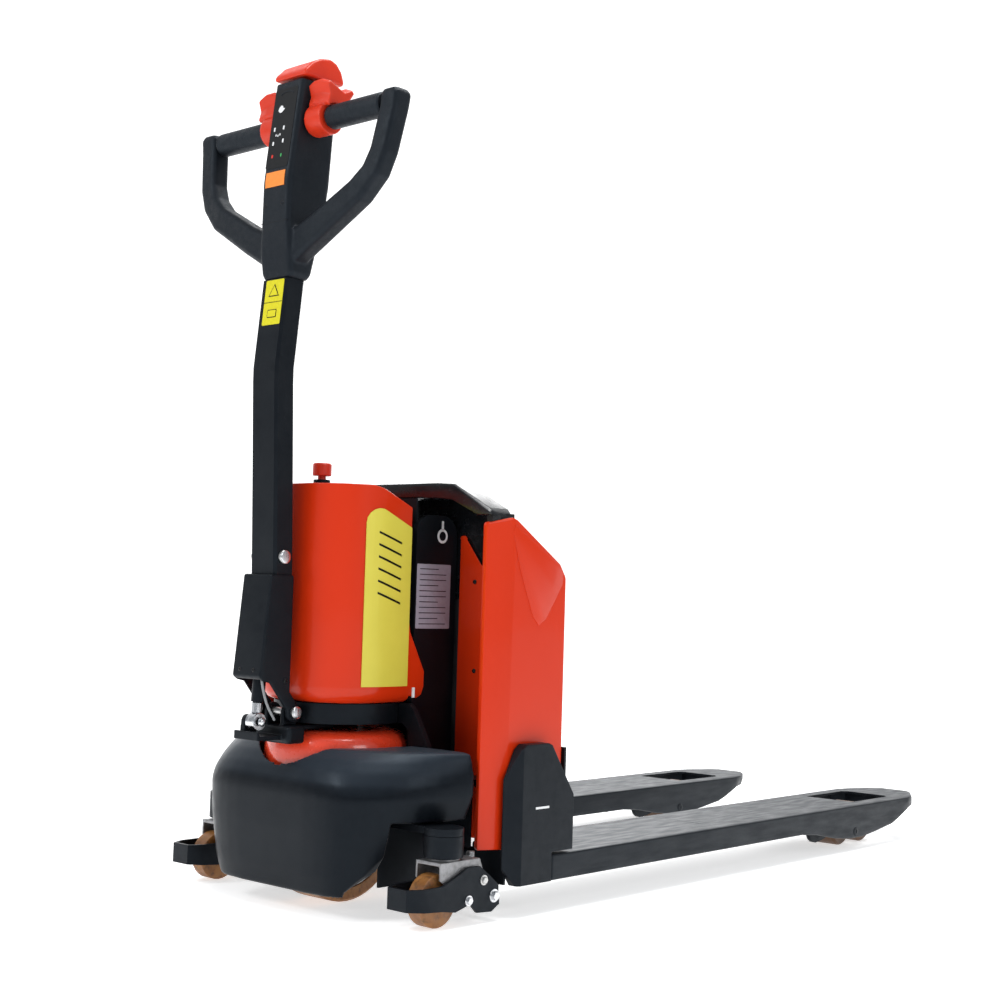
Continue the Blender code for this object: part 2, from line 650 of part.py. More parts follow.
def loop_half(side):
    """One side of the closed handle loop, from the collar to the grip's outer end."""
    path = [((0.010, -0.357, 0.944), (0.90, 0.44), 0.050, 0.034),
            ((0.070, -0.356, 0.972), (0.88, 0.47), 0.042, 0.033),
            ((0.150, -0.352, 1.016), (0.82, 0.57), 0.038, 0.032),
            ((0.176, -0.348, 1.042), (0.50, 0.87), 0.036, 0.031),
            ((0.188, -0.345, 1.070), (0.26, 0.97), 0.034, 0.031),
            ((LOOP_X, -0.338, 1.130), (0.12, 0.99), 0.034, 0.032),
            ((LOOP_X + 0.002, GRIP_Y, 1.150), (0.05, 1.0), 0.034, 0.034),
            ((LOOP_X + 0.001, GRIP_Y, 1.1565), (0.0, 1.0), 0.026, 0.027)]
    rings = []
    for centre, along, width, depth in path:
        ring = loop_ring(centre, along, width, depth)
        rings.append([(side * x, y, z) for x, y, z in ring])
    return loft("loop", rings)


def build_handle_head():
    """Spine with the control face, the closed loop and the steel grip bar."""
    levels = [(0.9055, -0.3725, -0.336, 0.0290), (0.914, -0.3750, -0.332, 0.0330),
              (0.945, -0.3795, -0.325, 0.0335), (0.980, FACE_Y0, -0.312, 0.0310),
              (FACE_Z0, FACE_Y0, -0.301, 0.0305), (1.130, face_y(1.130), -0.296, 0.0310),
              (HEAD_TOP, face_y(HEAD_TOP), -0.299, 0.0315)]
    head = loft("handle_head", [head_ring(*level) for level in levels])
    join(head, loop_half(RIGHT), loop_half(LEFT),
         rod("bar", (0, GRIP_Y, GRIP_Z), "X", BAR_R, -LOOP_X, LOOP_X, 24))
    cut(head, rod("switch_bore", (0, -0.328, 0), "Z", 0.0085, 1.165, 1.250, 20))
    cut(head, box("rocker_pocket", (-0.0105, 0.0105), (-0.3140, -0.2800), (1.0720, 1.1080)))
    return finish(head, "black_plastic", (0, PIVOT_Y, PIVOT_Z))


def build_grip(side):
    """Rubber sleeve on the grip bar."""
    x = sorted((side * 0.068, side * 0.1795))
    profile = [(BAR_R + 0.0003, x[0]), (GRIP_R - 0.002, x[0]), (GRIP_R, x[0] + 0.003),
               (GRIP_R, x[1] - 0.003), (GRIP_R - 0.002, x[1]), (BAR_R + 0.0003, x[1])]
    sleeve = turned("grip_" + SIDE_NAMES[side], profile, (0, GRIP_Y, GRIP_Z), "X", 24)
    return finish(sleeve, "rubber")


def build_paddle(side):
    """Thumb paddle of the speed control, turning on the grip bar."""
    hub = tube("paddle_" + SIDE_NAMES[side], (0, GRIP_Y, GRIP_Z), "X", BAR_R + 0.0006, 0.0235,
               *span(side, 0.0330, 0.0660), 28)
    wing = [(-0.012, 0.016), (0.012, 0.020), (0.024, 0.030), (0.036, 0.047), (0.031, 0.052),
            (0.016, 0.044), (0.0, 0.050), (-0.014, 0.056), (-0.019, 0.052), (-0.014, 0.036),
            (-0.018, 0.022)]
    rings = []
    for x, spread in ((0.0345, 0.92), (0.045, 1.0), (0.062, 1.0), (0.078, 0.94)):
        lift = 0.0 if x < 0.07 else -0.003
        rings.append([(side * x, GRIP_Y + a * spread, GRIP_Z + b * spread + lift) for a, b in wing])
    flare = loft("wing", rings)
    cut(flare, rod("room", (0, GRIP_Y, GRIP_Z), "X", 0.0195, *span(side, 0.0655, 0.100)))
    join(hub, flare)
    return finish(hub, "red", (side * 0.0330, GRIP_Y, GRIP_Z))


def build_belly_switch():
    """Red reversing cap on the end of the handle, on a guided stem."""
    low = HEAD_TOP + 0.0045
    profile = [(face_y(low) - 0.001, low), (face_y(low) + 0.001, low + 0.008), (-0.345, 1.2290),
               (-0.330, 1.2370), (-0.313, 1.2405), (-0.300, 1.2365), (-0.290, 1.2260),
               (-0.285, 1.2130), (-0.2845, low)]
    cap = prism("belly_switch", profile, "X", -0.0350, 0.0350)
    bevel(cap, 0.004, 2, 30)
    join(cap, rod("stem", (0, -0.328, 0), "Z", 0.0080, 1.1720, low + 0.004, 20))
    return finish(cap, "red", (0, -0.328, low))


def build_lift_rocker():
    """Lift and lower rocker in the back of the handle's spine."""
    rocker = [(-0.3060, 1.0800), (-0.3000, 1.0760), (-0.2930, 1.0765), (-0.2945, 1.0900),
              (-0.2930, 1.1035), (-0.3000, 1.1040), (-0.3060, 1.1000)]
    switch = prism("lift_rocker", rocker, "X", -0.0090, 0.0090)
    finish(switch, "orange", (0, -0.3060, 1.0900))


# --- casters ------------------------------------------------------------
def build_caster(side):
    """Stabiliser: fixed head, swivelling bridge and guard, sprung arm and wheel."""
    name = SIDE_NAMES[side]
    x, y = side * CASTER_X, CASTER_Y
    head = tube("caster_head_" + name, (x, y, 0), "Z", 0.0095, 0.0280, 0.0940, WING_Z - CLEAR, 32)
    finish(head, "black_paint")

    bridge = rod("caster_bridge_" + name, (x, y, 0), "Z", 0.0090, 0.0850, 0.1220, 20)
    join(bridge, box("plate", (x - 0.0240, x + 0.0240), (y - 0.030, y + 0.050), (0.0850, 0.0900)),
         rod("boss", (x, y, 0), "Z", 0.0230, 0.0880, 0.0932, 32))
    cheek = [(-0.030, 0.066), (-0.012, 0.056), (0.012, 0.056), (0.036, 0.050), (0.052, 0.052),
             (0.060, 0.066), (0.050, 0.0895), (-0.030, 0.0895)]
    for s in (RIGHT, LEFT):
        join(bridge, prism("cheek", [(y + a, z) for a, z in cheek], "X",
                           *[x + d for d in span(s, 0.0205, 0.0240)]))
    join(bridge, rod("bolt", (x, y + 0.056, 0), "Z", 0.0065, 0.0500, 0.0960, 6),
         box("bolt_seat", (x - 0.0220, x + 0.0220), (y + 0.046, y + 0.054), (0.0600, 0.0880)))
    finish(bridge, "zinc", (x, y, 0.0940))

    plan = [(-0.0300, 0.086), (-0.0300, -0.066), (-0.0180, -0.089), (0.0180, -0.089),
            (0.0300, -0.066), (0.0300, 0.086)]
    room = [(-0.0255, 0.100), (-0.0255, -0.065), (-0.0155, -0.084), (0.0155, -0.084),
            (0.0255, -0.065), (0.0255, 0.100)]
    guard = prism("caster_guard_" + name, [(x + a, y + b) for a, b in plan], "Z", 0.010, 0.090)
    cut(guard, prism("room", [(x + a, y + b) for a, b in room], "Z", 0.0, 0.1))
    join(guard, box("tie", (x - 0.028, x + 0.028), (y + 0.068, y + 0.0855), (0.026, 0.040)))
    top = [(-0.110, 0.060), (-0.030, 0.060), (0.002, 0.072), (0.018, 0.080), (0.044, 0.080),
           (0.066, 0.064), (0.084, 0.050), (0.084, 0.036), (0.0875, 0.030), (0.110, 0.030), (0.110, 0.11), (-0.110, 0.11)]
    under = [(-0.110, 0.032), (-0.030, 0.026), (-0.004, 0.022), (0.012, 0.026), (0.026, 0.030),
             (0.040, 0.016), (0.070, 0.014), (0.084, 0.022), (0.110, 0.022), (0.110, 0.0), (-0.110, 0.0)]
    for edge in (top, under):
        cut(guard, prism("edge", [(y + a, z) for a, z in edge], "X", x - 0.05, x + 0.05))
    finish(guard, "black_paint", (x, y, 0.0940))

    wy, wz = y - CASTER_TRAIL, CASTER_R
    arm = rod("caster_arm_" + name, (0, y + 0.036, 0.062), "X", 0.0060, x - 0.0195, x + 0.0195, 20)
    plate = [(-0.030, 0.030), (-0.021, 0.026), (0.000, 0.024), (0.020, 0.034), (0.042, 0.054),
             (0.043, 0.066), (0.034, 0.070), (0.014, 0.046), (-0.004, 0.036), (-0.016, 0.046),
             (-0.028, 0.043)]
    for s in (RIGHT, LEFT):
        join(arm, prism("side", [(y + a, z) for a, z in plate], "X",
                        *[x + d for d in span(s, 0.0162, 0.0195)]))
    join(arm, rod("axle", (0, wy, wz), "X", 0.0050, x - 0.0170, x + 0.0170, 16))
    finish(arm, "zinc", (x, y + 0.036, 0.062))

    wheel = turned("caster_wheel_" + name,
                   [(0.0053, -0.0150), (0.0300, -0.0150), (CASTER_R, -0.0120), (CASTER_R, 0.0120),
                    (0.0300, 0.0150), (0.0053, 0.0150)], (x, wy, wz), "X", 28)
    finish(wheel, "polyurethane", (x, wy, wz))


# --- forks and battery frame --------------------------------------------
def fork_plan(half, tip_half, tip, shoulder, heel):
    """Plan outline of a fork, narrowing at its tip."""
    return [(-half, heel), (half, heel), (half, shoulder), (half - 0.010, shoulder + 0.036),
            (tip_half + 0.006, tip - 0.012), (tip_half - 0.006, tip), (-tip_half + 0.006, tip),
            (-tip_half - 0.006, tip - 0.012), (-half + 0.010, shoulder + 0.036), (-half, shoulder)]


def build_fork(side):
    """Folded channel with a solid nose and the roller window."""
    half = FORK_W / 2
    cx = side * FORK_X
    plan = fork_plan(half, 0.036, FORK_TIP, SHOULDER_Y, FORK_HEEL)
    fork = prism("fork_" + SIDE_NAMES[side], [(cx + a, b) for a, b in plan], "Z", 0.010, FORK_TOP)
    under = [(-0.10, 0.045), (0.660, 0.045), (0.710, 0.040), (0.770, 0.029), (0.830, 0.0225),
             (0.880, 0.0225), (0.930, 0.028), (0.990, 0.036), (1.015, 0.044), (1.055, 0.060),
             (1.200, 0.072), (1.200, -0.05), (-0.10, -0.05)]
    cut(fork, prism("under", under, "X", cx - 0.1, cx + 0.1))
    bevel(fork, 0.004, 2, 40)
    inner = half - 0.005
    room = [(-inner, FORK_HEEL - 0.02), (inner, FORK_HEEL - 0.02), (inner, 1.020), (inner - 0.020, 1.045),
            (-inner + 0.020, 1.045), (-inner, 1.020)]
    cut(fork, prism("room", [(cx + a, b) for a, b in room], "Z", 0.0, FORK_TOP - FORK_T))
    window = [(-0.050, 0.885), (0.050, 0.885), (0.050, 1.020), (0.040, 1.032), (-0.040, 1.032),
              (-0.050, 1.020)]
    cut(fork, prism("window", [(cx + a, b) for a, b in window], "Z", 0.05, 0.10))
    return finish(fork, "black_paint")


def build_heel_frame():
    """Back plate, battery floor and the two heel brackets outside the covers."""
    frame = box("heel_frame", (-0.264, 0.264), (-0.0055, -0.0010), (0.0870, 0.2350))
    join(frame, box("back", (-0.2535, 0.2535), (-0.0055, -0.0015), (0.2300, 0.4840)))
    join(frame, box("floor", (-0.2560, 0.2560), (-0.0770, -0.0040), (0.1060, 0.1120)))
    for side in (RIGHT, LEFT):
        join(frame, box("leg_seat", span(side, 0.2295, 0.2535), (-0.1320, -0.0750), (0.1060, 0.1120)),
             box("toe_plate", span(side, 0.2070, 0.2640), (-0.1350, -0.1310), (0.0470, 0.0945)),
             box("toe_lug", span(side, 0.2400, 0.2530), (-0.1345, -0.1310), (0.0930, 0.1080)))
    outline = [(-0.095, 0.045), (FORK_HEEL - CLEAR, 0.045), (FORK_HEEL - CLEAR, 0.0870), (0.0, 0.0870),
               (0.0, 0.167), (-0.052, 0.2420), (-0.060, 0.2450), (-0.108, 0.2450), (-0.118, 0.2380),
               (-0.140, 0.195), (-0.140, 0.070), (-0.122, 0.045)]
    for side in (RIGHT, LEFT):
        bracket = prism("bracket", outline, "X", *span(side, *BRACKET_X))
        slant = [(0.2640, -0.160), (0.2640, -0.1400), (0.2800, -0.1160), (0.2900, -0.1010), (0.2900, -0.160)]
        cut(bracket, prism("slant", [(side * x, y) for x, y in slant], "Z", 0.0, 0.3))
        bevel(bracket, 0.003, 2, 30)
        join(frame, bracket)
    return finish(frame, "black_paint")


def build_side_cover(side):
    """Red half of the battery housing: outer side, front wing and recessed panel."""
    plan = [(0.112, -0.086), (0.220, -0.092), (0.2260, -0.160), (0.240, -0.167), (COVER_X, -0.130),
            (COVER_X, -0.006), (0.112, -0.006)]
    cover = prism("side_cover_" + SIDE_NAMES[side], [(side * a, b) for a, b in plan], "Z",
                  COVER_BASE, COVER_TOP + 0.002)
    top = [(-0.20, 0.553), (-0.150, 0.566), (-0.130, COVER_TOP), (-0.120, COVER_TOP - 0.003),
           (-0.020, 0.507), (-0.006, COVER_REAR_TOP - 0.008), (0.01, 0.46), (0.01, 0.60), (-0.20, 0.60)]
    cut(cover, prism("top", top, "X", *span(side, 0.0, 0.3)))
    bevel(cover, 0.004, 2, 30)
    w = COVER_WALL
    room = [(0.0, -0.083), (0.2170, -0.0885), (0.2230, -0.156), (0.2290, -0.1625), (0.2410, -0.1605),
            (COVER_X - w, -0.129), (COVER_X - w, 0.02), (0.0, 0.02)]
    ceiling = [(-0.20, 0.05), (-0.20, 0.62), (-0.096, 0.62), (-0.096, 0.5480), (-0.020, 0.5025),
               (0.03, 0.47), (0.03, 0.05)]
    inside = prism("room", [(side * a, b) for a, b in room], "Z", 0.05, 0.62)
    limit = prism("limit", ceiling, "X", *span(side, -0.01, 0.3))
    step = inside.modifiers.new("bool", "BOOLEAN")
    step.operation = "INTERSECT"
    step.solver = "EXACT"
    step.object = limit
    bake(inside)
    bpy.data.objects.remove(limit, do_unlink=True)
    cut(cover, inside)
    notch = [(0.050, 0.5690), (0.1120, 0.5600), (0.1600, 0.5020), (0.2150, 0.4800), (0.2150, 0.6200),
             (0.050, 0.6200)]
    cut(cover, prism("notch", [(side * x, z) for x, z in notch], "Y", -0.1100, -0.0755))
    cut(cover, box("screen_room", span(side, 0.0500, 0.2150), (-0.0840, -0.0752), (0.4950, 0.6200)))
    return finish(cover, "red")


def build_top_arch():
    """Black hoop over the top, standing on the battery floor inside the covers."""
    outer = [(0.2480, 0.5720), (0.2400, 0.5830), (0.1680, 0.6195), (0.1350, ARCH_TOP)]
    inner = [(0.130, 0.5980), (0.1650, 0.5950), (0.2150, 0.5730)]
    outline = outer + [(-x, z) for x, z in reversed(outer)] + [(-x, z) for x, z in reversed(inner)] + inner
    arch = prism("top_arch", outline, "Y", -0.163, -0.118)
    bevel(arch, 0.004, 2, 30)
    screen = [(0.0175, 0.4500), (0.2140, 0.4500), (0.2140, 0.5580), (0.2080, 0.5640),
              (0.1950, 0.5720), (0.1280, 0.6070), (0.0, 0.6070), (0.0, 0.5990), (0.0175, 0.5990)]
    for side in (RIGHT, LEFT):
        join(arch, box("leg", span(side, 0.2330, 0.2475), (-0.1290, -0.1150), (0.1125, 0.5760)),
             prism("chin", [(side * x, y) for x, y in [(0.2300, -0.1550), (0.2410, -0.1550),
                                                       (0.2470, -0.1440), (0.2470, -0.1220),
                                                       (0.2300, -0.1220)]], "Z", 0.5400, 0.5760))
    join(arch, box("deck", (-0.1200, 0.1200), (-0.1200, -0.0790), (0.6020, 0.6060)),
         box("ram_pad", (-0.022, 0.022), (-0.1195, -0.0800), (0.5985, 0.6120)))
    for side in (RIGHT, LEFT):
        join(arch, prism("screen", [(side * x, z) for x, z in screen], "Y", -0.0825, -0.0785))
    return finish(arch, "black_plastic")


def build_battery():
    """Slim battery pack between the covers, with its lid and carrying slot."""
    pack = box("battery_pack", (-0.170, 0.170), (-0.0760, -0.0180), (0.1125, 0.4700))
    bevel(pack, 0.006, 2)
    join(pack, box("rib", (-0.060, 0.060), (-0.0560, -0.0380), (0.4600, 0.4860)))
    cut(pack, box("hand", (-0.045, 0.045), (-0.10, 0.0), (0.4700, 0.4790)))
    return finish(pack, "battery")


# --- lift linkage -------------------------------------------------------
def build_rocker():
    """Cross tube with two long arms to the chassis and two cranks to the rods."""
    rocker = rod("lift_rocker_shaft", (0, ROCKER_Y, ROCKER_Z), "X", 0.0080, -0.2612, 0.2612, 20)
    tilt = math.radians(25.2)
    reach = Vector((-math.cos(tilt), math.sin(tilt))) * ROCKER_ARM
    normal = Vector((math.sin(tilt), math.cos(tilt)))
    tip = Vector((ROCKER_Y, ROCKER_Z)) + reach
    root = Vector((ROCKER_Y, ROCKER_Z))
    root += normal * 0.0007 - reach * 0.02
    arm = [root + normal * 0.0120, root - normal * 0.0120, tip - normal * 0.007,
           tip + normal * 0.007]
    foot = ROCKER_Z - CRANK_R - 0.005
    crank = [(ROCKER_Y - 0.0070, ROCKER_Z + 0.0011), (ROCKER_Y - 0.0055, foot),
             (ROCKER_Y + 0.0055, foot), (ROCKER_Y + 0.0067, ROCKER_Z + 0.0011)]
    for side in (RIGHT, LEFT):
        join(rocker, prism("arm", [tuple(p) for p in arm], "X", *span(side, 0.1190, 0.1310)),
             prism("crank", crank, "X", *span(side, 0.1960, 0.2040)))
    return finish(rocker, "black_paint", (0, ROCKER_Y, ROCKER_Z))


def build_push_rod(side):
    """Rod under the fork between the rocker and the roller yoke."""
    x = side * FORK_X
    start = (x, ROCKER_Y + 0.028, ROCKER_Z - CRANK_R)
    end = (x, YOKE_Y - 0.046, YOKE_Z + CRANK_R)
    bar = link("push_rod_" + SIDE_NAMES[side], start, end, 0.0055)
    return finish(bar, "steel", start)


def build_yoke(side):
    """Swinging arm pair that pushes the load rollers down from the fork."""
    cx = side * FORK_X
    yoke = rod("roller_yoke_" + SIDE_NAMES[side], (0, YOKE_Y, YOKE_Z), "X", 0.0080, cx - 0.0735,
               cx + 0.0735, 20)
    boss = arc(YOKE_Y, YOKE_Z, 0.0265, 90, 270, 8)
    profile = boss + [(YOKE_Y + 0.020, YOKE_Z - 0.024), (YOKE_Y + 0.055, 0.0290)]
    profile += arc(BOGIE_Y, WHEEL_R, 0.0100, -80, 80, 5) + [(YOKE_Y + 0.060, 0.0560)]
    for s in (RIGHT, LEFT):
        join(yoke, prism("arm", profile, "X", *[cx + d for d in span(s, 0.0400, 0.0470)]),
             rod("stub", (0, BOGIE_Y, WHEEL_R), "X", 0.0050,
                 *[cx + d for d in span(s, 0.0325, 0.0410)], 16))
    join(yoke, box("crank", (cx - 0.006, cx + 0.006), (YOKE_Y - 0.008, YOKE_Y + 0.008),
                   (YOKE_Z, YOKE_Z + CRANK_R + 0.006)))
    return finish(yoke, "black_paint", (cx, YOKE_Y, YOKE_Z))


def build_bogie(side):
    """Balance plates that hold the two rollers of one fork, and the rollers."""
    cx = side * FORK_X
    name = SIDE_NAMES[side]
    places = [BOGIE_Y - WHEEL_PITCH / 2, BOGIE_Y + WHEEL_PITCH / 2]
    bogie = rod("roller_bogie_" + name, (0, places[0], WHEEL_R), "X", 0.0060, cx - 0.0350,
                cx + 0.0350, 16)
    join(bogie, rod("axle", (0, places[1], WHEEL_R), "X", 0.0060, cx - 0.0350, cx + 0.0350, 16))
    profile = arc(places[1], WHEEL_R, 0.0120, -90, 90, 6) + arc(places[0], WHEEL_R, 0.0120, 90, 270, 6)
    for s in (RIGHT, LEFT):
        join(bogie, prism("plate", profile, "X", *[cx + d for d in span(s, 0.0320, 0.0380)]))
    cut(bogie, rod("hole", (0, BOGIE_Y, WHEEL_R), "X", 0.0054, cx - 0.05, cx + 0.05, 16))
    finish(bogie, "zinc", (cx, BOGIE_Y, WHEEL_R))
    half = WHEEL_W / 2
    for place, y in zip(("front", "rear"), places):
        roller = turned("load_roller_{}_{}".format(name, place),
                        [(0.0063, -half), (0.0330, -half), (WHEEL_R, -half + 0.004),
                         (WHEEL_R, half - 0.004), (0.0330, half), (0.0063, half)],
                        (cx, y, WHEEL_R), "X", 28)
        finish(roller, "polyurethane", (cx, y, WHEEL_R))


def build_truck():
    build_chassis_frame()
    build_bearing_race()
    build_base_cover()
    build_pump_case()
    build_support_ring()
    build_stop_button()
    build_power_pack()
    build_drive_unit()
    build_drive_wheel()
    build_dome_cover()
    build_tiller_bracket()
    build_tiller_arm()
    headed_pin("tiller_pivot_pin", PIVOT_Y, PIVOT_Z, 0.0060, 0.0090, CHEEK_X + 0.0003)
    headed_pin("gas_spring_pin", PIN_Y, PIN_Z, 0.0060, 0.0100, ARM_HALF + 0.0003)
    build_gas_spring()
    build_handle_head()
    build_belly_switch()
    build_lift_rocker()
    build_heel_frame()
    build_top_arch()
    build_battery()
    build_rocker()
    for side in (RIGHT, LEFT):
        build_vent_panel(side)
        build_grip(side)
        build_paddle(side)
        build_caster(side)
        build_fork(side)
        build_side_cover(side)
        build_push_rod(side)
        build_yoke(side)
        build_bogie(side)


clear_scene()
PARTS = bpy.data.collections.new("electric_pallet_truck")
bpy.context.scene.collection.children.link(PARTS)
build_truck()
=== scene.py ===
"""Looks of the electric pallet truck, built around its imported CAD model."""
import math

import bmesh
import bpy
from mathutils import Matrix, Vector


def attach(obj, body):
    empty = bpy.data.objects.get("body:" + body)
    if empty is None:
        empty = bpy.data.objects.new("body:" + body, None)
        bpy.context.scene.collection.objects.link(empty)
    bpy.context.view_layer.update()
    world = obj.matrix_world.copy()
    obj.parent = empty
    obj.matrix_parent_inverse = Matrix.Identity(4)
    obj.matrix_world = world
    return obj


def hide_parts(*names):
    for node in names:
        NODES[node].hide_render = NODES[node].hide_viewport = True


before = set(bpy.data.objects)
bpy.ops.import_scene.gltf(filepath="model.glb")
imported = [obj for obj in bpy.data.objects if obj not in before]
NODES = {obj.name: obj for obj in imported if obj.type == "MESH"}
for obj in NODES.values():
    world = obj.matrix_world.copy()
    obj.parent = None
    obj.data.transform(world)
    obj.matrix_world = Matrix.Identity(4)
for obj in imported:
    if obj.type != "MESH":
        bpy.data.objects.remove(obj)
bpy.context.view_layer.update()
SCENE = bpy.context.scene

HEEL = -0.3745                     # y of the fork heels in the row frame
SIDES = (("right", 1), ("left", -1))
WORLD_LIGHT, FLOOR_GLOW, BACKDROP_GLOW = 0.40, 0.62, 0.9

# Where details sit on the CAD shapes; every y and z is given from the fork heels.
COLUMN_X = 0.1060                  # outer side of a column plate
HOUSING_X = 0.2600                 # outer side of the battery housing
FORK_OUT_X, FORK_IN_X = 0.2800, 0.1200
FORK_TOP = 0.0834
GUARD_X = 0.2670                   # outer side of a caster guard
CASTER_X, CASTER_Y = 0.237, -0.232
DRIVE_Y = -0.2225                  # axis of the drive unit
DOME_CUT = 0.1128                  # radius of the opening for its dome
COVER_WALL, COVER_REAR = 0.0085, -0.172
PIVOT = (-0.333, 0.281)            # tiller pivot, y and z
SPRING_PIN = (-0.3625, 0.503)      # upper pin of the gas spring
SPRING_EYE = (-0.379, 0.268)       # its lower eye
FACE_Y, FACE_Z = -0.3815, 1.050    # foot of the sloping keypad face
FACE_SLOPE = 0.1258
SEAM_Y = -0.3812                   # front of the handle at its seam
ARM_Y, ARM_Z = -0.3890, 0.775      # foot of the sloping top of the arm
ARM_SLOPE = 0.1000


# --- camera, light and floor ----------------------------------------------------------------------
def make_camera():
    """Camera fitted to the photo; its place is given from the fork heels."""
    azimuth, elevation, roll = map(math.radians, (41.7645, -3.3432, 1.7291))
    ahead = Vector((-math.sin(azimuth) * math.cos(elevation),
                    math.cos(azimuth) * math.cos(elevation), -math.sin(elevation)))
    level = Vector((math.cos(azimuth), math.sin(azimuth), 0))
    up = level.cross(ahead)
    right = level * math.cos(roll) + up * math.sin(roll)
    top = up * math.cos(roll) - level * math.sin(roll)
    data = bpy.data.cameras.new("photo_camera")
    data.lens, data.sensor_width = 56.91, 36.0
    data.shift_x, data.shift_y = 0.0022, 0.0002
    data.clip_start = 0.05
    camera = bpy.data.objects.new("photo_camera", data)
    turn = Matrix((right, top, -ahead)).transposed().to_4x4()
    camera.matrix_world = Matrix.Translation((1.7597, -1.8462 + HEEL, 0.4615)) @ turn
    SCENE.collection.objects.link(camera)
    SCENE.camera = camera


def area_light(name, place, aim, size, power):
    """Rectangular white light at a place, turned to a point."""
    data = bpy.data.lights.new(name, "AREA")
    data.shape, data.size, data.size_y = "RECTANGLE", size[0], size[1]
    data.energy = power
    lamp = bpy.data.objects.new(name, data)
    lamp.location = place
    lamp.rotation_euler = (Vector(aim) - Vector(place)).to_track_quat("-Z", "Y").to_euler()
    SCENE.collection.objects.link(lamp)


def glowing(name, colour, glow):
    """Matt stage material with some light of its own."""
    mat = bpy.data.materials.new(name)
    mat.use_nodes = True
    shader = mat.node_tree.nodes["Principled BSDF"]
    shader.inputs["Base Color"].default_value = (*colour, 1)
    shader.inputs["Roughness"].default_value = 0.9
    shader.inputs["Specular IOR Level"].default_value = 0.0
    shader.inputs["Emission Color"].default_value = (1, 1, 1, 1)
    shader.inputs["Emission Strength"].default_value = glow
    return mat


def stage_sheet(name, corners, mat):
    """Four-cornered sheet of the stage, not part of the truck."""
    mesh = bpy.data.meshes.new(name)
    mesh.from_pydata(corners, [], [(0, 1, 2, 3)])
    mesh.materials.append(mat)
    sheet = bpy.data.objects.new(name, mesh)
    SCENE.collection.objects.link(sheet)


def make_studio():
    """White room: even sky, glowing floor and backdrop, four soft lights."""
    world = bpy.data.worlds.new("studio")
    world.use_nodes = True
    sky = world.node_tree.nodes["Background"]
    sky.inputs["Color"].default_value = (0.90, 0.95, 1.0, 1)
    sky.inputs["Strength"].default_value = WORLD_LIGHT
    SCENE.world = world
    area_light("key", (-0.9, -3.4, 2.4), (0, -0.3, 0.4), (1.3, 1.0), 44)
    area_light("side", (3.4, -0.9, 1.9), (0, -0.1, 0.35), (1.3, 1.3), 21)
    area_light("overhead", (0.3, -0.1, 3.6), (0, -0.2, 0), (2.6, 1.4), 95)
    area_light("back", (-2.4, 2.6, 2.2), (0, 0, 0.4), (1.6, 1.6), 30)
    SCENE.view_settings.view_transform = "Standard"
    far, level = 14, -0.0005
    stage_sheet("floor", [(-far, -far, level), (far, -far, level), (far, far, level),
                          (-far, far, level)],
                glowing("floor", (0.85, 0.85, 0.85), FLOOR_GLOW))
    stage_sheet("backdrop", [(-13.9, -6, -0.01), (6, 13.9, -0.01), (6, 13.9, 9.0),
                             (-13.9, -6, 9.0)],
                glowing("backdrop", (0.5, 0.5, 0.5), BACKDROP_GLOW))


make_camera()
make_studio()


